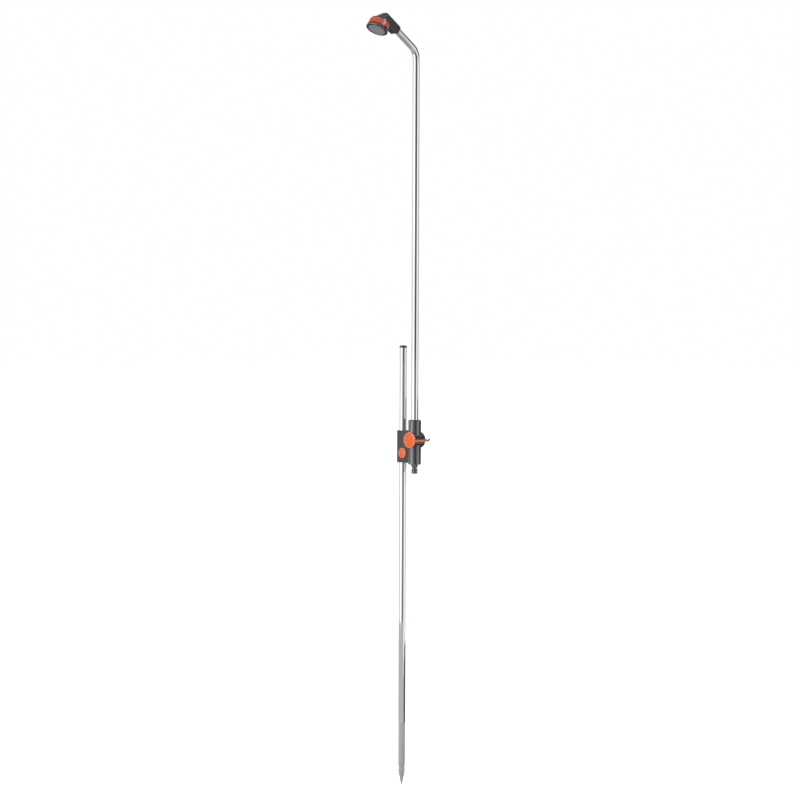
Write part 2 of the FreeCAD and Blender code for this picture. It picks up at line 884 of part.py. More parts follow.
def make_ball_seat(label, upward):
    """Ring seat that the ball turns against, above or below it."""
    body = new_body(label)
    revolve(body, [
        (size.seat_bore, size.seat_lip),
        (size.seat_bore + size.seat_slope, size.seat_near),
        (size.seat_radius, size.seat_near),
        (size.seat_radius, size.seat_far),
        (size.seat_bore, size.seat_far),
    ])
    place(body, x=size.riser_offset, z=size.valve_height, tilt=0 if upward else 180)
    return body


def make_valve_stem():
    """Stem from the ball to the knob, squared where the knob sits."""
    body = new_body("valve_stem")
    rod(body, size.stem_radius, hub_base - size.stem_root, z=size.stem_root)
    sketch = new_sketch(body, "XY_Plane", hub_base)
    half = size.drive_half_width
    draw_outline(sketch, [(-half, -half), (half, -half), (half, half), (-half, half)])
    pad(body, sketch, stem_end - hub_base)
    rod(body, size.knob_screw_radius, size.knob_screw_length, z=stem_end, along="-Z", cut=True)
    place(body, x=size.riser_offset, z=size.valve_height, tilt=90)
    return body


def make_lever_knob():
    """Round knob with its lever and the thin finger tab at the lever's end."""
    body = new_body("lever_knob")
    rim = size.knob_rim
    revolve(body, [
        (0, hub_base),
        (size.knob_hub_radius, hub_base),
        (size.knob_hub_radius, knob_base),
        (size.knob_radius - size.small_bevel, knob_base),
        (size.knob_radius, knob_base + size.small_bevel),
        (size.knob_radius, knob_face - rim),
        (size.knob_radius - rim * 0.3, knob_face - rim * 0.3),
        (size.knob_radius - rim, knob_face),
        (0, knob_face),
    ])
    half = size.lever_half_height
    drop = size.lever_drop
    rise = size.lever_rise
    corner = size.lever_corner
    lever_thickness = size.knob_thickness - size.lever_step
    lever = new_sketch(body, "XY_Plane", knob_base)
    draw_outline(lever, [
        (size.lever_root, -half - drop),
        (size.lever_reach - corner, -half + rise),
        (size.lever_reach, corner - half + rise),
        (size.lever_reach, half + rise - corner),
        (size.lever_reach - corner, half + rise),
        (size.lever_root, half - drop),
    ])
    pad(body, lever, lever_thickness)
    tab = new_sketch(body, "XY_Plane", knob_base)
    thick = size.tab_thickness
    top = half + rise
    tip = top + size.tab_curl
    middle = size.lever_reach + (size.tab_reach - size.lever_reach) * 0.5
    draw_outline(tab, [
        (size.lever_reach - size.tab_overlap, top - thick),
        (size.lever_reach, top - thick),
        (middle, top - thick - size.tab_dip),
        (size.tab_reach, tip - thick),
        (size.tab_reach - corner, tip),
        (middle, top - size.tab_dip),
        (size.lever_reach - size.tab_overlap, top),
    ])
    pad(body, tab, lever_thickness)
    drive = new_sketch(body, "XY_Plane", hub_base)
    side = size.drive_half_width
    draw_outline(drive, [(-side, -side), (side, -side), (side, side), (-side, side)])
    pocket(body, drive, stem_end - hub_base, reverse=True)
    rod(body, size.knob_cap_radius, size.knob_cap_thickness + 1,
        z=knob_face - size.knob_cap_thickness, cut=True)
    rod(body, size.knob_screw_head + size.fit_gap, size.knob_screw_height + 1,
        z=stem_end + size.knob_web, cut=True)
    rod(body, size.knob_screw_radius, size.knob_web + 2, z=stem_end - 1, cut=True)
    place(body, x=size.riser_offset, z=size.valve_height, tilt=90)
    return body


def make_knob_cap():
    """Thin cover over the knob's screw."""
    body = new_body("knob_cap")
    rod(body, size.knob_cap_radius - size.fit_gap, size.knob_cap_thickness,
        z=knob_face - size.knob_cap_thickness)
    place(body, x=size.riser_offset, z=size.valve_height, tilt=90)
    return body


def make_knob_screw():
    body = new_body("knob_screw")
    under_head = stem_end + size.knob_web
    rod(body, size.knob_screw_head, size.knob_screw_height, z=under_head)
    rod(body, size.knob_screw_radius, size.knob_screw_length + size.knob_web,
        z=stem_end - size.knob_screw_length)
    place(body, x=size.riser_offset, z=size.valve_height, tilt=90)
    return body


def make_hose_spigot():
    """Push-on spigot for a hose coupling: lip, neck, cone, flange and threaded stem."""
    body = new_body("hose_spigot")
    bottom = spigot_bottom
    lip_top = bottom + size.spigot_lip_height
    revolve(body, [
        (size.spigot_bore, bottom),
        (size.spigot_lip_radius - size.bevel, bottom),
        (size.spigot_lip_radius, bottom + size.bevel),
        (size.spigot_lip_radius, lip_top),
        (size.spigot_neck_radius, lip_top + size.bevel),
        (size.spigot_neck_radius, bottom + size.spigot_neck_height),
        (size.spigot_cone_radius, bottom + size.spigot_cone_height),
        (size.spigot_flange_radius, spigot_seat - size.spigot_flange_height),
        (size.spigot_flange_radius, spigot_seat),
        (size.spigot_stem_radius, spigot_seat),
        (size.spigot_stem_radius, spigot_stem_top),
        (size.spigot_bore, spigot_stem_top),
    ])
    place(body, x=size.riser_offset)
    return body


def make_inlet_filter():
    """Round strainer plate on top of the spigot's stem."""
    body = new_body("inlet_filter")
    rod(body, size.spigot_stem_radius, size.filter_thickness)
    sketch = new_sketch(body, "XY_Plane")
    draw_polygon(sketch, size.filter_circle, 0, size.filter_hole, 6)
    hole = pocket(body, sketch, size.filter_thickness, reverse=True)
    repeat_round(body, hole, 6)
    place(body, x=size.riser_offset, z=spigot_stem_top)
    return body


def make_spigot_seal():
    body = new_body("spigot_seal")
    revolve(body, [
        (size.waterway_radius, 0),
        (size.spigot_stem_radius, 0),
        (size.spigot_stem_radius, size.seal_thickness),
        (size.waterway_radius, size.seal_thickness),
    ])
    place(body, x=size.riser_offset, z=filter_top)
    return body


def make_riser_screw():
    """Grub screw that keeps the riser in its socket."""
    body = new_body("riser_screw")
    length = size.barrel_radius - size.tube_radius - size.bevel
    rod(body, size.riser_screw_radius, length)
    rod(body, size.riser_screw_radius * 0.5, size.riser_screw_socket,
        z=length - size.riser_screw_socket, cut=True)
    place(body, x=size.riser_offset, y=size.tube_radius,
          z=barrel_top - size.riser_screw_depth, tilt=-90)
    return body


def make_riser_tube():
    """Chromed riser: one straight run, one bend and the arm that enters the head."""
    body = new_body("riser_tube")
    path = new_sketch(body, "YZ_Plane")
    angle = size.bend_angle
    setback = size.bend_radius * tangent(0.5 * angle)
    length = size.arm_start + size.arm_insert
    turn = math.radians(angle.value)
    low = Vector(0, socket_bottom.value, 0)
    start = Vector(0, (size.bend_height - setback).value, 0)
    centre = Vector(-size.bend_radius.value, start.y, 0)
    end = centre + Vector(math.cos(turn), math.sin(turn), 0) * size.bend_radius.value
    far_x = -length * sine(angle)
    far_y = size.bend_height + length * cosine(angle)
    path.addGeometry(Part.LineSegment(low, start), False)
    bend = Part.ArcOfCircle(Part.Circle(centre, Vector(0, 0, 1), size.bend_radius.value), 0, turn)
    path.addGeometry(bend, False)
    path.addGeometry(Part.LineSegment(end, Vector(far_x.value, far_y.value, 0)), False)
    path.addConstraint(Sketcher.Constraint("Vertical", 0))
    path.addConstraint(Sketcher.Constraint("Tangent", 0, 2, 1, 1))
    path.addConstraint(Sketcher.Constraint("Tangent", 1, 2, 2, 1))
    ties = (("DistanceX", 0, 1, as_size(0)), ("DistanceY", 0, 1, socket_bottom),
            ("DistanceY", 0, 2, size.bend_height - setback),
            ("DistanceX", 2, 2, far_x), ("DistanceY", 2, 2, far_y))
    for kind, edge, point, value in ties:
        number = path.addConstraint(Sketcher.Constraint(kind, -1, 1, edge, point, value.value))
        bind(path, f"Constraints[{number}]", value)
    number = path.addConstraint(Sketcher.Constraint("Radius", 1, size.bend_radius.value))
    bind(path, f"Constraints[{number}]", size.bend_radius)
    section = new_sketch(body, "XY_Plane", socket_bottom)
    draw_circle(section, 0, 0, size.tube_radius)
    draw_circle(section, 0, 0, tube_bore)
    pipe = body.newObject("PartDesign::AdditivePipe", "riser_pipe")
    pipe.Profile = section
    pipe.Spine = path
    pipe.Transition = "Transformed"
    place(body, x=size.riser_offset)
    return body


# The spray head has its own axis: +Z out of the face, +Y forward and up
head_x = size.riser_offset
head_y = -size.head_reach
head_z = size.bend_height + size.head_rise
head_turn = 180 - size.head_tilt
ring_back = size.bezel_length + size.ring_length
shell_base = ring_back + size.running_gap
bar_underside = shell_base + size.bar_under
plate_back = size.plate_recess + size.plate_thickness


def place_head(body):
    place(body, head_x, head_y, head_z, head_turn)


def across(forward, up):
    """Head-frame place (along the face, behind the face) of a point given
    forward of and above the riser's bend."""
    forward = forward - size.head_reach
    up = up - size.head_rise
    along = forward * cosine(size.head_tilt) + up * sine(size.head_tilt)
    behind = up * cosine(size.head_tilt) - forward * sine(size.head_tilt)
    return along, behind


def arm_point(run):
    """Head-frame place of a point on the arm's axis, run past the bend's corner."""
    return across(run * sine(size.bend_angle), run * cosine(size.bend_angle))


arm_entry = arm_point(size.arm_start)
arm_end = arm_point(size.arm_start + size.arm_insert)
# angle between the arm and the face of the head
arm_lean = size.bend_angle + size.head_tilt - 90


def arm_behind(along):
    """How far behind the face the arm's axis runs at a place along the face."""
    entry_along, entry_behind = arm_entry
    return entry_behind + (along - entry_along) * tangent(-arm_lean)


def seam(along):
    """How far behind the face the seam of shell and cover runs."""
    return arm_behind(along) - size.seam_drop


def drill_arm(body, radius, length, start):
    """Bores the head along the arm's axis from a head-frame place."""
    bore = body.newObject("PartDesign::SubtractiveCylinder", "arm_bore")
    bind(bore, "Radius", radius)
    bind(bore, "Height", length)
    turn = 90 - arm_lean
    bore.Placement = Placement(Vector(), Rotation(Vector(-1, 0, 0), turn.value))
    bind(bore, ".Placement.Rotation.Angle", turn)
    along, behind = start
    bind(bore, ".Placement.Base.y", along)
    bind(bore, ".Placement.Base.z", -behind)


def draw_side(body, corners):
    """Solid as wide as the bar whose side view has these (along, behind) corners."""
    sketch = new_sketch(body, "YZ_Plane")
    draw_outline(sketch, [(along, -behind) for along, behind in corners])
    pad(body, sketch, 2 * size.bar_half_width, both_ways=True)


def along_seam(edge):
    """True for the edges that show on both sides of the bar where the seam runs."""
    box = edge.BoundBox
    low, high = -seam(-size.cover_start).value, -seam(arm_entry[0]).value
    on_side = box.XLength < 0.01 and near(abs(box.XMin), size.bar_half_width.value)
    return on_side and near(box.ZMin, low) and near(box.ZMax, high)


def make_head_shell():
    """Disc behind the turning face and the bar that rises from it and takes the arm."""
    body = new_body("head_shell")
    end = arm_entry[0]
    start = -size.cover_start
    peak_behind = arm_behind(-size.bar_peak) + size.bar_above_arm
    end_behind = arm_behind(end) + size.bar_above_arm
    draw_side(body, [
        (size.bar_foot, bar_underside),
        (-size.bar_peak, peak_behind),
        (end, end_behind),
        (end, seam(end)),
        (start, seam(start)),
        (start, bar_underside),
    ])
    dress(body, "Fillet", lambda edge: edge.BoundBox.XLength > size.bar_half_width.value
          and near(edge.BoundBox.ZMin, -peak_behind.value), size.bar_peak_round)
    dress(body, "Fillet", on_bar_top, size.bar_round)
    dress(body, "Chamfer", along_seam, size.seam_bevel)
    rod(body, size.disc_radius, size.disc_thickness, z=-shell_base, along="-Z")
    dress(body, "Chamfer", lambda edge: is_circle(edge, size.disc_radius,
          -shell_base - size.disc_thickness), size.disc_edge)
    rod(body, size.chamber_radius, size.chamber_depth + 1, z=1 - shell_base,
        along="-Z", cut=True)
    duct_start = shell_base + size.chamber_depth - 1
    rod(body, size.duct_radius, arm_behind(-size.duct_offset) - duct_start,
        y=-size.duct_offset, z=-duct_start, along="-Z", cut=True)
    drill_arm(body, size.tube_radius, size.arm_insert + 4, arm_point(size.arm_start - 4))
    drill_arm(body, size.duct_radius, size.duct_run, arm_end)
    drill_head_screw(body)
    place_head(body)
    return body


def on_bar_top(edge):
    """True for the long edges of the bar's slope, peak and top, on both sides."""
    box = edge.BoundBox
    on_side = box.XLength < 0.01 and near(abs(box.XMin), size.bar_half_width.value)
    top_low = -(arm_behind(arm_entry[0]) + size.bar_above_arm).value
    slope = near(box.YMax, size.bar_foot.value) and near(box.ZMax, -bar_underside.value)
    top = near(box.YMin, arm_entry[0].value) and near(box.ZMax, top_low)
    peak = edge.Curve.TypeId == "Part::GeomCircle"
    return on_side and box.YLength > 1 and box.ZLength > 0.1 and (slope or top or peak)


def drill_head_screw(body):
    rod(body, size.head_screw_radius, size.head_screw_length, y=-size.head_screw_offset,
        z=-bar_underside - size.head_screw_sink, along="-Z", cut=True)


def make_head_under_cover():
    """Lid below the arm, split from the shell along a seam parallel to the arm."""
    body = new_body("head_under_cover")
    end = arm_entry[0]
    start = -size.cover_start - size.fit_gap
    draw_side(body, [
        (start, bar_underside),
        (start, seam(start)),
        (end, seam(end)),
        (end, bar_underside + size.cover_corner),
        (end + size.cover_corner, bar_underside),
    ])
    low, high = -seam(start).value, -seam(end).value
    dress(body, "Chamfer", lambda edge: edge.BoundBox.XLength < 0.01
          and near(edge.BoundBox.ZMin, low) and near(edge.BoundBox.ZMax, high), size.seam_bevel)
    dress(body, "Chamfer", lambda edge: edge.BoundBox.XLength < 0.01
          and edge.BoundBox.ZLength < 0.01 and near(edge.BoundBox.ZMin, -bar_underside.value),
          size.bar_edge)
    drill_arm(body, size.tube_radius, size.arm_insert + 4, arm_point(size.arm_start - 4))
    rod(body, size.clamp_head_radius, size.clamp_head_height + size.head_screw_sink,
        y=-size.head_screw_offset, z=-bar_underside, along="-Z", cut=True)
    drill_head_screw(body)
    place_head(body)
    return body


def make_head_screw():
    """Pan-head screw that holds the cover to the shell."""
    body = new_body("head_screw")
    face = bar_underside + size.head_screw_sink
    rod(body, size.clamp_head_radius, size.clamp_head_height,
        y=-size.head_screw_offset, z=-face, along="-Z")
    rod(body, size.head_screw_radius, size.head_screw_length,
        y=-size.head_screw_offset, z=-face, along="-Z")
    for wide, long in cross_arms:
        slot(body, (-wide, wide), (-size.head_screw_offset - long, -size.head_screw_offset + long),
             (-face - size.screw_cross_depth, -face + size.screw_cross_depth))
    place_head(body)
    return body


# the turning face runs between the gasket and the washer on the end of the core's post
selector_back = -shell_base + size.gasket_width + size.running_gap
selector_front = selector_back + size.selector_plate_thickness
post_end = selector_front + size.running_gap


def make_head_core():
    """Fixed middle of the head: flange in the dome, port for the water, post for the face."""
    body = new_body("head_core")
    gap = size.fit_gap
    lip = -shell_base - size.chamber_depth + size.core_lip
    radius = size.chamber_radius - gap
    inner = radius - size.core_wall
    revolve(body, [
        (0, -shell_base),
        (0, post_end),
        (size.core_post_radius, post_end),
        (size.core_post_radius, -shell_base),
        (radius, -shell_base),
        (radius, lip),
        (inner, lip),
        (inner, -shell_base - size.core_flange),
        (0, -shell_base - size.core_flange),
    ])
    rod(body, size.core_port_radius, size.core_flange + 2, y=-size.core_port_offset,
        z=-shell_base - size.core_flange - 1, cut=True)
    rod(body, size.centre_screw_radius, size.centre_screw_length,
        z=post_end, along="-Z", cut=True)
    place_head(body)
    return body


def make_spray_ring():
    """Grip ring with hollows all round it."""
    body = new_body("spray_ring")
    front = size.ring_front_radius
    back = size.ring_back_radius
    edge = size.ring_edge
    long = size.ring_shoulder_length
    width = size.ring_shoulder_radius - back
    shoulder = [(back + width * cosine(turn), long - ring_back - long * sine(turn))
                for turn in (0, 30, 60, 90)]
    revolve(body, [
        (size.ring_inner_radius, -size.bezel_length),
        (front - edge, -size.bezel_length),
        (front, -size.bezel_length - edge),
    ] + shoulder + [(size.ring_inner_radius, -ring_back)])
    sketch = new_sketch(body, "XY_Plane", -ring_back)
    floor = size.ring_shoulder_radius - size.rib_depth
    draw_outline(sketch, [
        (floor, -size.rib_width * 0.25),
        (front + 1, -size.rib_width * 0.75),
        (front + 1, size.rib_width * 0.75),
        (floor, size.rib_width * 0.25),
    ])
    hollow = pocket(body, sketch, size.ring_length, reverse=True)
    repeat_round(body, hollow, RIB_COUNT)
    place_head(body)
    return body


def make_bezel():
    """Skirt round the spray plate, with the shoulder that the nozzle mat lies on."""
    body = new_body("bezel")
    seat = size.plate_radius + size.fit_gap
    shoulder = -plate_back - size.mat_thickness - size.fit_gap
    back = size.running_gap - size.bezel_length
    edge = size.bezel_edge
    revolve(body, [
        (size.mat_shoulder_radius, shoulder),
        (seat, shoulder),
        (seat, -edge),
        (seat + edge, 0),
        (size.bezel_face_radius - edge, 0),
        (size.bezel_face_radius, -edge),
        (size.bezel_back_radius, back),
        (size.bezel_inner_radius, back),
        (size.bezel_inner_radius, -size.mat_shoulder_depth),
        (size.mat_shoulder_radius, -size.mat_shoulder_depth),
    ])
    place_head(body)
    return body


def make_spray_plate():
    """Round plate of the face, pierced for the nozzles."""
    body = new_body("spray_plate")
    rod(body, size.plate_radius, size.plate_thickness, z=-plate_back)
    for ring in NOZZLE_RINGS:
        sketch = new_sketch(body, "XY_Plane", -plate_back)
        draw_polygon(sketch, ring * size.nozzle_pitch, 0, size.nozzle_root, 6)
        hole = pocket(body, sketch, size.plate_thickness, reverse=True)
        repeat_round(body, hole, 6 * ring)
    place_head(body)
    return body


def make_nozzle_mat():
    """Rubber mat whose nozzles stand through the plate."""
    body = new_body("nozzle_mat")
    rod(body, size.plate_radius - size.running_gap, size.mat_thickness,
        z=-plate_back - size.mat_thickness)
    for ring in NOZZLE_RINGS:
        sketch = new_sketch(body, "XY_Plane", -plate_back)
        draw_polygon(sketch, ring * size.nozzle_pitch, 0, size.nozzle_root, 6)
        nozzle = pad(body, sketch, size.plate_thickness + size.nozzle_stand)
        repeat_round(body, nozzle, 6 * ring)
    place_head(body)
    return body


def make_selector_plate():
    """Back of the turning face: it carries the ring and bezel round the core's post."""
    body = new_body("selector_plate")
    bore = size.core_post_radius + size.running_gap
    rim_front = size.running_gap - size.bezel_length
    revolve(body, [
        (bore, selector_back),
        (bore, selector_front),
        (size.bezel_inner_radius, selector_front),
        (size.bezel_inner_radius, rim_front),
        (size.ring_inner_radius, rim_front),
        (size.ring_inner_radius, selector_back),
    ])
    hole = rod(body, size.core_port_radius * 0.7, size.selector_plate_thickness + 2,
               y=-size.core_port_offset, z=selector_back - 1, cut=True)
    repeat_round(body, hole, 5)
    place_head(body)
    return body


def make_head_gasket():
    """Ring seal on the core, round its port."""
    body = new_body("head_gasket")
    inner = size.core_port_radius
    revolve(body, [
        (inner, 0),
        (inner + size.gasket_width, 0),
        (inner + size.gasket_width, size.gasket_width),
        (inner, size.gasket_width),
    ])
    # the port lies off the head's axis, on the arm's side
    lean = size.head_tilt
    place(body, head_x,
          head_y + size.core_port_offset * cosine(lean) + shell_base * sine(lean),
          head_z - size.core_port_offset * sine(lean) + shell_base * cosine(lean), head_turn)
    return body


def make_centre_screw():
    """Screw and washer head that keep the turning face on the post."""
    body = new_body("centre_screw")
    rod(body, size.centre_screw_radius, size.centre_screw_length, z=post_end, along="-Z")
    rod(body, size.washer_radius, size.washer_thickness, z=post_end)
    rod(body, size.centre_screw_head, 2 * size.washer_thickness,
        z=post_end + size.washer_thickness)
    place_head(body)
    return body


def collect():
    """Builds every sub-part and returns them in order from the ground up."""
    low_bush = block_bottom + size.bush_lip
    high_bush = block_top - size.bush_lip - size.bush_length
    return [
        make_ground_tube(),
        make_top_cap(),
        make_ground_spike(),
        make_spike_rivet(),
        make_clamp_front_shell(),
        make_clamp_rear_cover(),
        make_clamp_screws(),
        make_guide_bush("lower_guide_bush", low_bush),
        make_guide_bush("upper_guide_bush", high_bush),
        make_clamp_jaw(),
        make_jaw_liner(),
        make_button_wedge(),
        make_release_button(),
        make_button_spring(),
        make_valve_housing(),
        make_valve_rear_cap(),
        make_valve_ball(),
        make_ball_seat("upper_ball_seat", True),
        make_ball_seat("lower_ball_seat", False),
        make_valve_stem(),
        o_ring("stem_o_ring", stem_bore, size.riser_offset,
               size.o_ring_section - hub_seat, size.valve_height, 90),
        make_lever_knob(),
        make_knob_cap(),
        make_knob_screw(),
        make_hose_spigot(),
        make_inlet_filter(),
        make_spigot_seal(),
        make_riser_screw(),
        make_riser_tube(),
        o_ring("riser_o_ring", size.tube_radius, size.riser_offset, 0,
               barrel_top - size.riser_seal_depth),
        make_head_shell(),
        make_head_under_cover(),
        make_head_screw(),
        make_head_core(),
        make_head_gasket(),
        make_selector_plate(),
        make_spray_ring(),
        make_bezel(),
        make_spray_plate(),
        make_nozzle_mat(),
        make_centre_screw(),
    ]


def main():
    parts = collect()
    document.recompute()
    for thing in document.Objects:
        if {"Invalid", "Error"} & set(thing.State):
            raise RuntimeError(f"{thing.Label} failed: {thing.State}")
    os.makedirs("parts", exist_ok=True)
    for part in parts:
        if part.Shape.isNull() or not part.Shape.isValid():
            raise RuntimeError(f"{part.Label} has no valid shape")
    for part in parts:
        part.Shape.exportStep(f"parts/{part.Label}.step")
        print(part.Label, len(part.Shape.Solids), round(part.Shape.Volume))


main()
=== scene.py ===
import math

import bmesh
import bpy
from mathutils import Matrix, Vector


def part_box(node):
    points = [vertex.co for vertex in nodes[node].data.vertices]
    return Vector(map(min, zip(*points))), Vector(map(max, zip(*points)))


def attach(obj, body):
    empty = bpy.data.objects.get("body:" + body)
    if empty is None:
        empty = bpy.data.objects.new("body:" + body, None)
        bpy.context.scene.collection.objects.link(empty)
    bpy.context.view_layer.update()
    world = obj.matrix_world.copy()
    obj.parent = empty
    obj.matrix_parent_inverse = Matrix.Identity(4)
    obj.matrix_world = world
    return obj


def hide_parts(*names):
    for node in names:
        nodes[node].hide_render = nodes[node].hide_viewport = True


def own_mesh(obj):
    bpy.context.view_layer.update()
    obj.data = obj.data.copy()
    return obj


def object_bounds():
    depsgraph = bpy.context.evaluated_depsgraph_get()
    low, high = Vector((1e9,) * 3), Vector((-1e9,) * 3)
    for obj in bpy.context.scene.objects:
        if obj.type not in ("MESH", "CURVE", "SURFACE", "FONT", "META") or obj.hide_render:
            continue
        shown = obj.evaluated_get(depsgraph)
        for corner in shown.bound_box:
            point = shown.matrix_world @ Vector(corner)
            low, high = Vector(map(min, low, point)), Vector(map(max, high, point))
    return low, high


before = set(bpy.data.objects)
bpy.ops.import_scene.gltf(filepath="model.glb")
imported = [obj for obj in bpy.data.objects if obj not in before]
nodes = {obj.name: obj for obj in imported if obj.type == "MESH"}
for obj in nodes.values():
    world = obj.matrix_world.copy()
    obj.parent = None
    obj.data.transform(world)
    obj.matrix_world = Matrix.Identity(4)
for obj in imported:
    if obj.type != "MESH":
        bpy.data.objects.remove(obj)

# Garden shower, in metres: the spike's soil line is the origin, +Z is up
# and the spray head looks toward -Y

scene = bpy.context.scene
scene.view_settings.view_transform = "Standard"
cad_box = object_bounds()


# Camera, in degrees and metres, its lens and sensor in millimetres. Distance,
# bearing and height are assumed; the step to the side, the pitch, the roll and the
# lens are fitted to the photograph

CAMERA_AZIMUTH = 45.0
CAMERA_DISTANCE = 7.0
CAMERA_HEIGHT = 1.24
CAMERA_SIDE = -0.0085
CAMERA_PITCH = 2.6153
CAMERA_ROLL = 0.226
LENS = 111.10
SENSOR = 36.0
CLIP_END = 100

# direction from the object to the camera, seen from above
toward_camera = Vector((
    math.sin(math.radians(CAMERA_AZIMUTH)),
    -math.cos(math.radians(CAMERA_AZIMUTH)),
    0,
))
camera_right = Vector((-toward_camera.y, toward_camera.x, 0))


def make_camera():
    data = bpy.data.cameras.new("camera")
    data.lens = LENS
    data.sensor_width = SENSOR
    data.clip_end = CLIP_END
    camera = bpy.data.objects.new("camera", data)
    scene.collection.objects.link(camera)
    place = toward_camera * CAMERA_DISTANCE + camera_right * CAMERA_SIDE
    place.z = CAMERA_HEIGHT
    aim = -toward_camera
    aim.z = -math.tan(math.radians(CAMERA_PITCH))
    turn = aim.to_track_quat("-Z", "Y").to_matrix().to_4x4()
    roll = Matrix.Rotation(math.radians(CAMERA_ROLL), 4, "Z")
    camera.matrix_world = Matrix.Translation(place) @ turn @ roll
    scene.camera = camera


# Studio: a pale floor under the tip of the spike, a surround that is white to the
# camera, three soft lamps, and panels round the shower that only reflections show.
# The panels were placed until the stripes on the tubes fell nearly as in
# the photograph

FLOOR = cad_box[0].z - 0.0005
FLOOR_HALF = 30.0
FLOOR_COLOUR = (0.72, 0.72, 0.73, 1)
FLOOR_GLOW = 0.72
SKY_COLOUR = (0.98, 0.99, 1.0, 1)
SKY_LIGHT = 0.52
SKY_MIRRORED = 0.30
WHITE = (1, 1, 1, 1)

# panels: distance from the ground tube, lower and upper edge, and the height
# where the gap between them changes its tone. Some stand a little behind or in
# front of the others
PANEL_DISTANCE = 2.9
PANEL_FOOT = FLOOR + 0.002
PANEL_TOP = 3.4
PANEL_STEPS = 12
GAP_TOP = 0.95
FADE_DISTANCE = PANEL_DISTANCE + 0.02
FOOT_DISTANCE = PANEL_DISTANCE - 0.02
LOW_DISTANCE = PANEL_DISTANCE - 0.05
FLAG_DISTANCE = PANEL_DISTANCE - 0.1
NEAR_DISTANCE = 0.98

# rings of glow on the floor: height above it, and where each ring ends
GLOW_LIFT = 0.001
PATCH_LIFT = 0.002
GLOW_STEPS = 24
CENTRE_END = 0.5
RING_END = 0.97
FLOOR_END = 2.88


def link(tree, source, target):
    tree.links.new(source, target)


def new_object(name, corners, faces, material):
    mesh = bpy.data.meshes.new(name)
    mesh.from_pydata(corners, [], faces)
    mesh.materials.append(material)
    made = bpy.data.objects.new(name, mesh)
    scene.collection.objects.link(made)
    return made


def empty_material(name):
    """Material with its node tree and the input of its output."""
    material = bpy.data.materials.new(name)
    material.use_nodes = True
    tree = material.node_tree
    tree.nodes.clear()
    output = tree.nodes.new("ShaderNodeOutputMaterial")
    return material, tree, output.inputs[0]


def emission(tree, strength):
    node = tree.nodes.new("ShaderNodeEmission")
    node.inputs["Strength"].default_value = strength
    return node.outputs[0]


def ray_mask(tree, kinds):
    """1 for rays of the given kinds and 0 for the others."""
    path = tree.nodes.new("ShaderNodeLightPath")
    total = path.outputs[kinds[0]]
    for kind in kinds[1:]:
        add = tree.nodes.new("ShaderNodeMath")
        add.operation = "MAXIMUM"
        link(tree, total, add.inputs[0])
        link(tree, path.outputs[kind], add.inputs[1])
        total = add.outputs[0]
    return total


def make_world():
    """Surround: white to the camera, dim in reflections, and a soft light for the rest."""
    world = bpy.data.worlds.new("studio")
    scene.world = world
    world.use_nodes = True
    tree = world.node_tree
    tree.nodes.clear()

    def background(colour, strength):
        node = tree.nodes.new("ShaderNodeBackground")
        node.inputs["Color"].default_value = colour
        node.inputs["Strength"].default_value = strength
        return node.outputs[0]

    def chosen(kinds, first, second):
        mix = tree.nodes.new("ShaderNodeMixShader")
        link(tree, ray_mask(tree, kinds), mix.inputs[0])
        link(tree, first, mix.inputs[1])
        link(tree, second, mix.inputs[2])
        return mix.outputs[0]

    light = background(SKY_COLOUR, SKY_LIGHT)
    mirrored = background(WHITE, SKY_MIRRORED)
    shown = background(WHITE, 1.0)
    output = tree.nodes.new("ShaderNodeOutputWorld")
    around = chosen(("Is Glossy Ray",), light, mirrored)
    link(tree, chosen(("Is Camera Ray", "Is Transmission Ray"), around, shown), output.inputs[0])


def make_floor():
    """Pale floor: near white to the camera, with the object's shadow on it."""
    material, tree, output = empty_material("floor")
    paper = tree.nodes.new("ShaderNodeBsdfDiffuse")
    paper.inputs["Color"].default_value = FLOOR_COLOUR
    mix = tree.nodes.new("ShaderNodeMixShader")
    link(tree, ray_mask(tree, ("Is Camera Ray", "Is Transmission Ray")), mix.inputs[0])
    link(tree, emission(tree, 0.0), mix.inputs[1])
    link(tree, emission(tree, FLOOR_GLOW), mix.inputs[2])
    total = tree.nodes.new("ShaderNodeAddShader")
    link(tree, paper.outputs[0], total.inputs[0])
    link(tree, mix.outputs[0], total.inputs[1])
    link(tree, total.outputs[0], output)
    corners = [(x * FLOOR_HALF, y * FLOOR_HALF, FLOOR)
               for x, y in ((-1, -1), (1, -1), (1, 1), (-1, 1))]
    floor = new_object("floor", corners, [(0, 1, 2, 3)], material)


def bearing_direction(bearing):
    """Level direction at a bearing from the camera's, positive to the right."""
    turn = math.radians(bearing)
    return toward_camera * math.cos(turn) + camera_right * math.sin(turn)


def add_reflected(name, start, end, steps, edges, strength):
    """Glowing strip between two bearings, which only reflections show.

    Its two edges are given as (distance, height) from the ground tube's axis.
    """
    corners, faces = [], []
    for step in range(steps + 1):
        level = bearing_direction(start + (end - start) * step / steps)
        for distance, height in edges:
            spot = level * distance
            corners.append((spot.x, spot.y, height))
    for step in range(steps):
        first = 2 * step
        faces.append((first, first + 2, first + 3, first + 1))
    material, tree, output = empty_material(name)
    link(tree, emission(tree, strength), output)
    panel = new_object(name, corners, faces, material)
    panel.visible_camera = False
    panel.visible_diffuse = False
    panel.visible_shadow = False
    panel.visible_transmission = False


def make_panel(name, start, end, strength, low=PANEL_FOOT, high=PANEL_TOP,
               depth=PANEL_DISTANCE):
    """Upright curved panel between two bearings, in degrees, and two heights."""
    add_reflected(name, start, end, PANEL_STEPS, ((depth, low), (depth, high)), strength)


def make_floor_glow(name, inner, outer, start, end, strength, lift=GLOW_LIFT):
    """Part of a flat ring just above the floor, as the tubes mirror it."""
    height = FLOOR + lift
    add_reflected(name, start, end, GLOW_STEPS, ((inner, height), (outer, height)), strength)


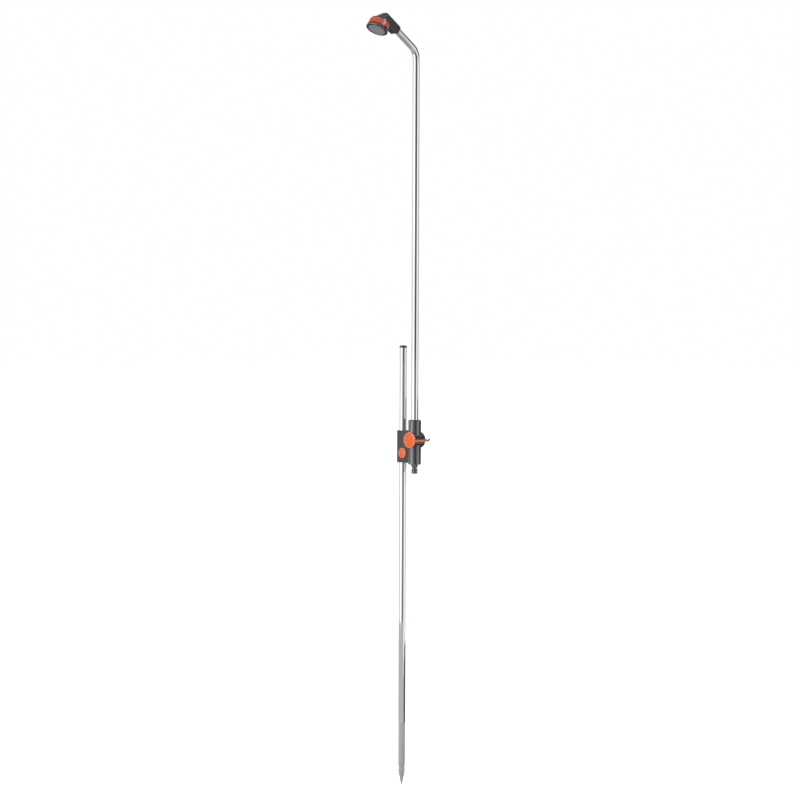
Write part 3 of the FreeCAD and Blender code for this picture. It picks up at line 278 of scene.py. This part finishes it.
def make_lamp(name, bearing, elevation, distance, size, power):
    """Soft lamp at a bearing from the camera's direction, aimed at the middle."""
    data = bpy.data.lights.new(name, "AREA")
    data.shape = "SQUARE"
    data.size = size
    data.energy = power
    lamp = bpy.data.objects.new(name, data)
    scene.collection.objects.link(lamp)
    lift = math.radians(elevation)
    level = bearing_direction(bearing)
    middle = (cad_box[0] + cad_box[1]) / 2
    lamp.location = middle + (level * math.cos(lift) + Vector((0, 0, math.sin(lift)))) * distance
    lamp.rotation_mode = "QUATERNION"
    lamp.rotation_quaternion = (middle - lamp.location).to_track_quat("-Z", "Y")
    lamp.visible_glossy = False


def make_panels():
    """Panels by start and end bearing and strength, with flags in front of some."""
    make_panel("far_left_panel", -165, -100, 1.0)
    make_panel("side_left_panel", -100, -81, 0.48)
    make_panel("left_panel", -81, -33, 2.5)
    make_panel("left_fade", -33, -3, 0.60)
    make_panel("high_gap", -3, 34, 0.07, low=GAP_TOP)
    make_panel("low_gap", 2, 28, 0.13, high=GAP_TOP)
    make_panel("low_fade", -3, 34, 0.60, high=GAP_TOP, depth=FADE_DISTANCE)
    make_panel("right_fade", 34, 46, 0.60)
    make_panel("right_panel", 46, 84, 1.45)
    make_panel("side_right_panel", 84, 104, 0.80)
    make_panel("far_right_panel", 104, 165, 0.65)
    make_panel("low_right_panel", 104, 165, 1.0, high=0.45, depth=LOW_DISTANCE)
    make_panel("back_panel", 165, 195, 0.12, high=1.6)
    make_panel("head_softbox", 55, 71, 8.0, low=2.6, high=3.1, depth=FLAG_DISTANCE)
    make_panel("ball_flag", 86, 99, 0.12, low=0.80, high=2.12, depth=FLAG_DISTANCE)
    make_panel("valve_flag", 84, 168, 0.10, low=0.52, high=0.80, depth=FLAG_DISTANCE)
    make_panel("head_flag", 84, 104, 0.10, low=2.12, high=3.3, depth=FLAG_DISTANCE)
    make_panel("head_edge_flag", 104, 175, 0.04, low=2.3, high=2.85, depth=FLAG_DISTANCE)
    make_panel("low_flag", 76, 165, 0.06, high=0.08, depth=NEAR_DISTANCE)


def make_floor_tones():
    """The floor as the tubes mirror it: from and to distance, bearings and strength."""
    make_floor_glow("floor_centre", 0.02, CENTRE_END, 0, 360, 0.42)
    make_floor_glow("floor_ring", CENTRE_END, RING_END, 0, 360, 1.0)
    make_floor_glow("floor_left", RING_END, FLOOR_END, -150, 46, 0.69)
    make_floor_glow("floor_right", RING_END, FLOOR_END, 46, 150, 0.48)
    make_floor_glow("floor_patch", 1.95, 2.4, 46, 61, 1.3, lift=PATCH_LIFT)
    make_floor_glow("floor_front", 2.4, FLOOR_END, 38, 84, 1.3, lift=PATCH_LIFT)
    make_floor_glow("floor_back", RING_END, FLOOR_END, 150, 210, 0.10)
    make_panel("left_foot", -150, 38, 0.69, high=-0.10, depth=FOOT_DISTANCE)


def make_studio():
    make_world()
    make_floor()
    make_panels()
    make_floor_tones()
    make_lamp("key_lamp", bearing=-55, elevation=35, distance=4.0, size=2.4, power=118)
    make_lamp("fill_lamp", bearing=60, elevation=20, distance=4.5, size=2.4, power=30)
    make_lamp("top_lamp", bearing=10, elevation=80, distance=3.5, size=2.0, power=34)


# Materials: wear and grain come from noise in the object's own coordinates.
# Sizes are in metres

GRAIN_SIZE = 0.00045
GRAIN_DEPTH = 0.00004

# heights between which painted shade darkens the chrome's colour, from just below the bend to the
# arm
ARM_START = 1.86
ARM_FULL = 1.93
ARM_PAINTED_SHADE = (0.66, 0.66, 0.67)

# places along x between which painted shade darkens the lever toward its thin end
TAB_START = 0.109
TAB_FULL = 0.113
TAB_PAINTED_SHADE = (0.45, 0.40, 0.6)


def new_material(name):
    """Material with a surface shader."""
    material, tree, output = empty_material(name)
    surface = tree.nodes.new("ShaderNodeBsdfPrincipled")
    link(tree, surface.outputs[0], output)
    return material, tree, surface


def object_place(tree, stretch):
    """Place on the object, stretched along its axes."""
    place = tree.nodes.new("ShaderNodeTexCoord")
    mapping = tree.nodes.new("ShaderNodeMapping")
    mapping.inputs["Scale"].default_value = stretch
    link(tree, place.outputs["Object"], mapping.inputs["Vector"])
    return mapping.outputs[0]


def noise(tree, size, detail, stretch=(1, 1, 1)):
    """Noise whose spots are about the given size in metres."""
    texture = tree.nodes.new("ShaderNodeTexNoise")
    texture.inputs["Scale"].default_value = 1 / size
    texture.inputs["Detail"].default_value = detail
    link(tree, object_place(tree, stretch), texture.inputs["Vector"])
    return texture.outputs["Fac"]


def ramp(tree, value, stops):
    """Colour ramp with two (place, colour) stops."""
    node = tree.nodes.new("ShaderNodeValToRGB")
    for element, (place, colour) in zip(node.color_ramp.elements, stops):
        element.position = place
        element.color = (*colour, 1)
    link(tree, value, node.inputs[0])
    return node.outputs[0]


def along_axis(tree, axis, start, end):
    """0 to 1 between two places on an axis of the object, in metres."""
    place = tree.nodes.new("ShaderNodeTexCoord")
    parts = tree.nodes.new("ShaderNodeSeparateXYZ")
    link(tree, place.outputs["Object"], parts.inputs[0])
    node = tree.nodes.new("ShaderNodeMapRange")
    node.inputs["From Min"].default_value = start
    node.inputs["From Max"].default_value = end
    link(tree, parts.outputs[axis], node.inputs["Value"])
    return node.outputs[0]


def spread(tree, value, low, high):
    """Maps noise, which stays near a half, onto low..high."""
    node = tree.nodes.new("ShaderNodeMapRange")
    node.inputs["From Min"].default_value = 0.3
    node.inputs["From Max"].default_value = 0.7
    node.inputs["To Min"].default_value = low
    node.inputs["To Max"].default_value = high
    link(tree, value, node.inputs["Value"])
    return node.outputs[0]


def bump(tree, height, strength, distance):
    """Normal of a surface with the given relief."""
    node = tree.nodes.new("ShaderNodeBump")
    node.inputs["Strength"].default_value = strength
    node.inputs["Distance"].default_value = distance
    link(tree, height, node.inputs["Height"])
    return node.outputs[0]


def combined(tree, kind, first, second):
    """Two colours added or multiplied."""
    node = tree.nodes.new("ShaderNodeMix")
    node.data_type = "RGBA"
    node.blend_type = kind
    # of the node's inputs 0 is the share, and 6 and 7 are the two colours
    node.inputs[0].default_value = 1.0
    link(tree, first, node.inputs[6])
    link(tree, second, node.inputs[7])
    return node.outputs[2]


def shade(colour, factor):
    """The colour made darker or lighter."""
    return tuple(channel * factor for channel in colour)


def moulded(name, colour, rough, grain, tone=0.10, dust=0.02, shine=0.5, ior=1.5, tip=None):
    """Moulded plastic: a fine spark texture, broad flow marks, a little dust, and painted shade
    toward one end if tip is given.
    """
    material, tree, surface = new_material(name)
    surface.inputs["Specular IOR Level"].default_value = shine
    surface.inputs["IOR"].default_value = ior
    flow = noise(tree, size=0.035, detail=2.0, stretch=(1, 1, 0.4))
    base = ramp(tree, flow, [(0.3, shade(colour, 1 - tone)), (0.7, shade(colour, 1 + tone))])
    specks = noise(tree, size=0.0011, detail=2.0)
    dusty = ramp(tree, specks, [(0.68, (0, 0, 0)), (0.76, (dust, dust, dust))])
    if tip is not None:
        # painted shade: the colour darkens along x toward the given end
        start, end, tip_shade = tip
        reach = ramp(tree, along_axis(tree, "X", start, end), [(0.0, (1, 1, 1)), (1.0, tip_shade)])
        base = combined(tree, "MULTIPLY", base, reach)
    link(tree, combined(tree, "ADD", base, dusty), surface.inputs["Base Color"])
    wear = noise(tree, size=0.012, detail=4.0)
    link(tree, spread(tree, wear, rough * 0.85, rough * 1.18), surface.inputs["Roughness"])
    fine = noise(tree, size=GRAIN_SIZE, detail=2.0)
    link(tree, bump(tree, fine, grain, GRAIN_DEPTH), surface.inputs["Normal"])
    return material


def chrome(name, colour, rough):
    """Chromed steel: faint drawing lines along it, wipe marks, water spots and painted shade on
    the arm.
    """
    material, tree, surface = new_material(name)
    surface.inputs["Metallic"].default_value = 1.0
    lines = noise(tree, size=0.0006, detail=2.0, stretch=(1, 1, 0.02))
    drawn = ramp(tree, lines, [(0.35, shade(colour, 0.97)), (0.65, colour)])
    # painted shade: the arm's colour is made a third darker than the straight tubes'
    height = along_axis(tree, "Z", ARM_START, ARM_FULL)
    darker = ramp(tree, height, [(0.0, (1, 1, 1)), (1.0, ARM_PAINTED_SHADE)])
    tint = combined(tree, "MULTIPLY", drawn, darker)
    spots = noise(tree, size=0.004, detail=3.0)
    spotted = ramp(tree, spots, [(0.66, (1, 1, 1)), (0.72, (0.93, 0.93, 0.92))])
    link(tree, combined(tree, "MULTIPLY", tint, spotted), surface.inputs["Base Color"])
    wipes = noise(tree, size=0.02, detail=4.0, stretch=(1, 1, 0.3))
    link(tree, spread(tree, wipes, rough * 0.7, rough * 1.4), surface.inputs["Roughness"])
    link(tree, bump(tree, wipes, strength=0.02, distance=0.00002), surface.inputs["Normal"])
    return material


def turned_metal(name, colour, rough):
    """Machined metal with fine turning lines."""
    material, tree, surface = new_material(name)
    surface.inputs["Metallic"].default_value = 1.0
    grain = noise(tree, size=0.0004, detail=3.0, stretch=(1, 1, 6))
    link(tree, ramp(tree, grain, [(0.3, shade(colour, 0.85)), (0.7, colour)]),
         surface.inputs["Base Color"])
    link(tree, spread(tree, grain, rough * 0.8, rough * 1.3), surface.inputs["Roughness"])
    link(tree, bump(tree, grain, strength=0.2, distance=0.00003), surface.inputs["Normal"])
    return material


BLACK = (0.028, 0.030, 0.029)
BLOCK = (0.036, 0.038, 0.037)
ORANGE = (0.71, 0.108, 0.018)
# painted shade: the ring's orange is a darker copy of the knob's
SHADED_RING = (0.51, 0.044, 0.010)
# painted highlight: the rims' orange is paler than the knob's
HIGHLIT_RIM = (0.78, 0.15, 0.055)
# painted shade: the lever's orange is a darker copy of the knob's
SHADED_LEVER = (0.55, 0.082, 0.022)
# painted shade: dark orange for the plate over the lever's finger tab
SHADE_PLATE = (0.27, 0.036, 0.014)
SPIKE = (0.385, 0.385, 0.39)
PLATE = (0.235, 0.23, 0.23)
CHROME = (0.65, 0.65, 0.655)
NOZZLE = (0.225, 0.22, 0.22)
RUBBER = (0.02, 0.02, 0.02)
STEEL = (0.55, 0.55, 0.56)
BRASS = (0.65, 0.46, 0.20)
NYLON = (0.72, 0.71, 0.68)
# light grey for the skirt's marks and for a painted highlight on its front edge
MARK_AND_HIGHLIGHT = (0.16, 0.165, 0.17)
# painted shade: near black for the jet holes and the head's seam
PAINTED_RECESS_SHADE = (0.012, 0.012, 0.012)

MATERIALS = {
    "chromed_tube": chrome("chromed_tube", CHROME, 0.05),
    "spike_grey": moulded("spike_grey", SPIKE, 0.55, grain=0.5, tone=0.04, dust=0.0),
    "black_gloss": moulded("black_gloss", BLACK, 0.14, grain=0.05, shine=1.0, ior=1.6),
    "black_matt": moulded("black_matt", BLOCK, 0.42, grain=0.4),
    "orange": moulded("orange", ORANGE, 0.30, grain=0.15, tone=0.05, dust=0.0),
    "shaded_ring_orange": moulded("shaded_ring_orange", SHADED_RING, 0.30, grain=0.08, tone=0.05, dust=0.0,
                           shine=1.0, ior=1.7),
    "shaded_lever_orange": moulded("shaded_lever_orange", SHADED_LEVER, 0.30, grain=0.15, tone=0.05, dust=0.0,
                            tip=(TAB_START, TAB_FULL, TAB_PAINTED_SHADE)),
    "highlit_rim_orange": moulded("highlit_rim_orange", HIGHLIT_RIM, 0.10, grain=0.04, tone=0.04, dust=0.0,
                          shine=1.0, ior=1.7),
    "shade_plate_orange": moulded("shade_plate_orange", SHADE_PLATE, 0.35, grain=0.15, tone=0.05, dust=0.0),
    "face_grey": moulded("face_grey", PLATE, 0.45, grain=0.3, tone=0.03, dust=0.0),
    "nozzle_grey": moulded("nozzle_grey", NOZZLE, 0.5, grain=0.3, tone=0.04),
    "rubber": moulded("rubber", RUBBER, 0.7, grain=0.4),
    "steel": turned_metal("steel", STEEL, 0.28),
    "brass": turned_metal("brass", BRASS, 0.30),
    "white_nylon": moulded("white_nylon", NYLON, 0.45, grain=0.2, tone=0.03, dust=0.0),
    "mark_and_highlight_white": moulded("mark_and_highlight_white", MARK_AND_HIGHLIGHT, 0.45, grain=0.2, tone=0.03, dust=0.0),
    "painted_recess_shade": moulded("painted_recess_shade", PAINTED_RECESS_SHADE, 0.6, grain=0.2),
}

# nodes drawn with darker copies of their slot's orange, as painted shade
OWN_MATERIAL = {"spray_ring": "shaded_ring_orange", "lever_knob": "shaded_lever_orange"}


def paint_nodes():
    """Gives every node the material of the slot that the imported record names."""
    for name, node in nodes.items():
        packed = node.material_slots[0].name
        key = next(slot for slot in MATERIALS if packed.startswith(slot))
        for place in node.material_slots:
            place.material = MATERIALS[OWN_MATERIAL.get(name, key)]


# Pieces that are finer than the solids, each one a mesh that rides on a body.
# Their sizes are in millimetres, and the places that they are put at in metres

MM = 0.001
HEAD = Vector((47.0, -155.8, 1949.9)) * MM
TILT = math.radians(28.3)
VALVE = Vector((47.0, 0, 809.0)) * MM
BUTTON = Vector((13.4, 0, 771.0)) * MM
RISER = Vector((47.0, 0, 0)) * MM

# frames in which pieces are turned: their third column is the axis, outward
HEAD_FRAME = Matrix((
    (1, 0, 0),
    (0, -math.cos(TILT), -math.sin(TILT)),
    (0, math.sin(TILT), -math.cos(TILT)),
)).to_4x4()
FRONT_FRAME = Matrix(((1, 0, 0), (0, 0, -1), (0, 1, 0))).to_4x4()
UP_FRAME = Matrix.Identity(4)

# corners nearer than this, in metres, become one
SAME_PLACE = 1e-7
SHARP_ANGLE = math.radians(35)
COARSE_SIDES = 48
FINE_SIDES = 64

# how far a dome or a rim is sunk into the solid below it, and the radius of the
# small flat in the middle of a dome
ROOT = 0.3
DOME_FLAT = 0.05


def add_piece(name, body, key, corners, faces, piece_frame=UP_FRAME, at=Vector(), smooth=True):
    """Mesh given in millimetres in its own frame, put at a place in metres."""
    placed = [piece_frame @ (Vector(corner) * MM) + at for corner in corners]
    piece = new_object(name, placed, faces, MATERIALS[key])
    mesh = piece.data
    build = bmesh.new()
    build.from_mesh(mesh)
    bmesh.ops.remove_doubles(build, verts=build.verts, dist=SAME_PLACE)
    bmesh.ops.recalc_face_normals(build, faces=build.faces)
    build.to_mesh(mesh)
    build.free()
    if smooth:
        mesh.shade_smooth()
        mesh.set_sharp_from_angle(angle=SHARP_ANGLE)
    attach(piece, body)
    return piece


def turned(profile, sides, centre=(0, 0), closed=False):
    """Corners and faces of a (radius, height) profile turned about the frame's axis.

    A closed profile makes a ring, and an open one gets a flat face at both ends.
    """
    corners, faces = [], []
    for radius, height in profile:
        for step in range(sides):
            angle = 2 * math.pi * step / sides
            corners.append((centre[0] + radius * math.cos(angle),
                            centre[1] + radius * math.sin(angle), height))
    rings = len(profile)
    for ring in range(rings if closed else rings - 1):
        low, high = ring * sides, (ring + 1) % rings * sides
        for step in range(sides):
            following = (step + 1) % sides
            faces.append((low + step, low + following, high + following, high + step))
    if not closed:
        faces.append(tuple(range(sides))[::-1])
        faces.append(tuple(range((rings - 1) * sides, rings * sides)))
    return corners, faces


def joined(forms):
    """Corners and faces of several forms as one."""
    corners, faces = [], []
    for form_corners, form_faces in forms:
        first = len(corners)
        corners += form_corners
        faces += [tuple(first + index for index in face) for face in form_faces]
    return corners, faces


def extruded(outline, low, high):
    """Flat form with the given outline, between two heights."""
    count = len(outline)
    corners = [(x, y, z) for z in (low, high) for x, y in outline]
    faces = [tuple(range(count))[::-1], tuple(range(count, 2 * count))]
    faces += [(i, (i + 1) % count, count + (i + 1) % count, count + i) for i in range(count)]
    return corners, faces


def slanted_bar(x, start, end, half_height):
    """Straight bar between two (y, z) places, its x range given as (low, high)."""
    corners = [(side, y, z + lift) for y, z in (start, end)
               for side in x for lift in (-half_height, half_height)]
    faces = [(0, 1, 3, 2), (4, 6, 7, 5), (0, 4, 5, 1), (2, 3, 7, 6), (0, 2, 6, 4), (1, 5, 7, 3)]
    return corners, faces


def crown(radius, base, rise, power):
    """Domed disc: its rim lies at the base height and its middle stands above it."""
    rings = 10
    profile = [(radius, base - ROOT)]
    # the rings lie closer together near the edge
    for ring in range(rings):
        share = 1 - (ring / rings) ** 1.5
        profile.append((radius * share, base + rise * (1 - share ** power)))
    profile.append((DOME_FLAT, base + rise))
    return turned(profile, FINE_SIDES)


def rounded_rim(outer, base, wide, high):
    """Half-round ring that lies on a disc's edge."""
    steps = 6
    profile = [(outer - wide, base - ROOT), (outer, base - ROOT)]
    for step in range(steps + 1):
        angle = math.pi * step / steps
        profile.append((outer - wide / 2 * (1 - math.cos(angle)), base + high * math.sin(angle)))
    return turned(profile, FINE_SIDES, closed=True)


def coil(centre, radius, wire, low, high, turns):
    """Wound wire of the given radius about an axis along y, between two y values."""
    steps = 20
    sides = 8
    corners, faces = [], []
    count = turns * steps
    for step in range(count + 1):
        angle = 2 * math.pi * step / steps
        middle = low + wire + (high - low - 2 * wire) * step / count
        for side in range(sides):
            around = 2 * math.pi * side / sides
            reach = radius + wire * math.cos(around)
            corners.append((centre[0] + reach * math.cos(angle), middle + wire * math.sin(around),
                            centre[1] + reach * math.sin(angle)))
    for step in range(count):
        for side in range(sides):
            following = (side + 1) % sides
            faces.append((step * sides + side, step * sides + following,
                          (step + 1) * sides + following, (step + 1) * sides + side))
    faces.append(tuple(range(sides))[::-1])
    faces.append(tuple(range(count * sides, (count + 1) * sides)))
    return corners, faces


# Spray face: rings of six, twelve and eighteen nozzles, each with a jet hole that is
# a dark plug painted as shade.
# Profiles are (radius, height above the face)

NOZZLE_RINGS = (1, 2, 3)
NOZZLE_PITCH = 6.3
NOZZLE_TIP = ((1.75, -0.35), (1.75, -0.12), (1.5, 0.05), (1.25, 0.3), (0.95, 0.36),
              (0.45, 0.36), (0.4, 0.2))
NOZZLE_JET = ((0.4, 0.1), (0.4, 0.21))
TIP_SIDES = 16
JET_SIDES = 10

# Skirt round the face: its radius at two depths behind the face, and its marks by
# start and end angle, in degrees, and by depth. The first row is a light strip along
# the front edge, a painted highlight; the others are marks for the spray pattern.
# A mark is a thin patch whose root is sunk into the skirt

SKIRT_FRONT_DEPTH = 1.2
SKIRT_FRONT_RADIUS = 31.5
SKIRT_BACK_DEPTH = 9.0
SKIRT_BACK_RADIUS = 30.2
SKIRT_MARKS_AND_HIGHLIGHT = (
    # painted highlight along the skirt's front edge
    (61, 86, 1.3, 1.75),
    (46, 52, 3.4, 4.9),
    (31, 37, 4.7, 6.2),
    (23, 28, 4.4, 5.8),
)
MARK_ROOT = 0.1
MARK_THICKNESS = 0.12
MARK_STEP = 2


def skirt_radius(depth):
    """Outside radius of the skirt at a depth behind the face."""
    narrowing = SKIRT_FRONT_RADIUS - SKIRT_BACK_RADIUS
    length = SKIRT_BACK_DEPTH - SKIRT_FRONT_DEPTH
    return SKIRT_FRONT_RADIUS - (depth - SKIRT_FRONT_DEPTH) * narrowing / length


def skirt_patch(start, end, low, high):
    """Thin patch between two angles and two depths that follows the skirt."""
    steps = max(2, int((end - start) / MARK_STEP))
    corners, faces = [], []
    for step in range(steps + 1):
        angle = math.radians(start + (end - start) * step / steps)
        for depth in (low, high):
            for extra in (-MARK_ROOT, MARK_THICKNESS):
                radius = skirt_radius(depth) + extra
                corners.append((radius * math.cos(angle), radius * math.sin(angle), -depth))
    for step in range(steps):
        a, b = 4 * step, 4 * step + 4
        faces += [(a + 1, a + 3, b + 3, b + 1), (a, b, b + 2, a + 2),
                  (a, a + 1, b + 1, b), (a + 2, b + 2, b + 3, a + 3)]
    last = 4 * steps
    faces += [(0, 2, 3, 1), (last, last + 1, last + 3, last + 2)]
    return corners, faces


def make_head_details():
    """Nozzle tips with their jets painted dark as shade, the marks on the skirt for the spray
    pattern, and a painted highlight along its front edge.
    """
    tips, jets = [], []
    for ring in NOZZLE_RINGS:
        for step in range(6 * ring):
            angle = 2 * math.pi * step / (6 * ring)
            reach = NOZZLE_PITCH * ring
            centre = (reach * math.cos(angle), reach * math.sin(angle))
            tips.append(turned(NOZZLE_TIP, TIP_SIDES, centre))
            jets.append(turned(NOZZLE_JET, JET_SIDES, centre))
    add_piece("nozzle_tips", "spray_face", "nozzle_grey", *joined(tips), HEAD_FRAME, HEAD)
    add_piece("nozzle_jets", "spray_face", "painted_recess_shade", *joined(jets), HEAD_FRAME, HEAD)
    marks = [skirt_patch(*mark) for mark in SKIRT_MARKS_AND_HIGHLIGHT]
    add_piece("skirt_marks_and_highlight", "spray_face", "mark_and_highlight_white", *joined(marks), HEAD_FRAME, HEAD)


# Knob, button and lever: heights are in front of the axis, and the outline of the
# dark plate painted as shade on the finger tab is seen from the front with the
# valve's axis as its origin

KNOB_BASE = 21.1
BUTTON_BASE = 16.2
SHADE_PLATE_BACK = 18.3
SHADE_PLATE_FRONT = 20.7
SHADE_PLATE_OUTLINE = (
    (61.5, 1.6), (63.7, 1.1), (66, 0.5), (68.5, 0.0), (71, -0.1), (73.4, 0.5), (75.4, 1.6),
    (77.2, 3.1), (78.4, 4.9), (78.3, 6.8), (77.3, 7.7), (76, 7.3), (74, 5.9), (72.5, 5.0),
    (71, 4.6), (69, 4.7), (66.5, 5.2), (64, 5.5), (61.5, 5.5),
)


def make_crowns():
    """The knob and the button are slightly domed inside a rounded rim whose paler orange is a
    painted highlight.
    """
    dome = crown(radius=20.4, base=KNOB_BASE, rise=1.3, power=4)
    add_piece("knob_crown", "valve", "orange", *dome, FRONT_FRAME, VALVE)
    rim = rounded_rim(outer=22.3, base=KNOB_BASE, wide=3.2, high=1.3)
    add_piece("knob_rim", "valve", "highlit_rim_orange", *rim, FRONT_FRAME, VALVE)
    dome = crown(radius=12.6, base=BUTTON_BASE, rise=1.6, power=2.6)
    add_piece("button_crown", "release", "orange", *dome, FRONT_FRAME, BUTTON)
    rim = rounded_rim(outer=14.2, base=BUTTON_BASE, wide=2.6, high=1.2)
    add_piece("button_rim", "release", "highlit_rim_orange", *rim, FRONT_FRAME, BUTTON)


def make_shade_plate():
    """Dark plate over the finger tab at the lever's end, as painted shade."""
    shade_plate_form = extruded(SHADE_PLATE_OUTLINE, SHADE_PLATE_BACK, SHADE_PLATE_FRONT)
    add_piece("lever_shade_plate", "valve", "shade_plate_orange", *shade_plate_form, FRONT_FRAME, VALVE, smooth=False)


# radius of the wire, in millimetres, and the number of turns
SPRING_WIRE = 0.3
SPRING_TURNS = 9


def make_spring():
    """Wound return spring behind the button."""
    low, high = (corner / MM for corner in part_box("button_spring"))
    centre = ((low.x + high.x) / 2, (low.z + high.z) / 2)
    radius = (high.x - low.x) / 2 - SPRING_WIRE
    form = coil(centre, radius, SPRING_WIRE, low.y, high.y, SPRING_TURNS)
    spring = add_piece("button_spring_coil", "carriage", "steel", *form)
    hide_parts("button_spring")
    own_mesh(spring)


# Small fixings: two profiles as (radius, height), and the dark line painted as shade
# in the seam between the head's shell and its lid, on both sides, as x ranges and
# (y, z) ends

COLLAR = ((10.02, 864.6), (11.2, 864.6), (11.2, 865.6), (10.6, 866.1), (10.02, 866.1))
TUBE_END = ((9.6, -1.6), (10.0, -1.2), (10.0, 0.02), (9.6, 0.02))
SEAM_SIDES = ((12.9, 13.2), (-13.2, -12.9))
SEAM_START = (-28.9, -36.15)
SEAM_END = (-65.6, -32.29)
SEAM_HALF = 0.3


def make_fixings():
    """Lip seal at the riser's socket, painted shade in the head's seam and the pole's end ring."""
    collar = turned(COLLAR, COARSE_SIDES, closed=True)
    add_piece("riser_collar", "carriage", "rubber", *collar, at=RISER)
    seam = joined([slanted_bar(x, SEAM_START, SEAM_END, SEAM_HALF) for x in SEAM_SIDES])
    add_piece("cover_seam", "carriage", "painted_recess_shade", *seam, HEAD_FRAME, HEAD, smooth=False)
    ring = turned(TUBE_END, FINE_SIDES, closed=True)
    add_piece("tube_end_ring", "ground_pole", "steel", *ring)


make_camera()
make_studio()
paint_nodes()
make_head_details()
make_crowns()
make_shade_plate()
make_spring()
make_fixings()
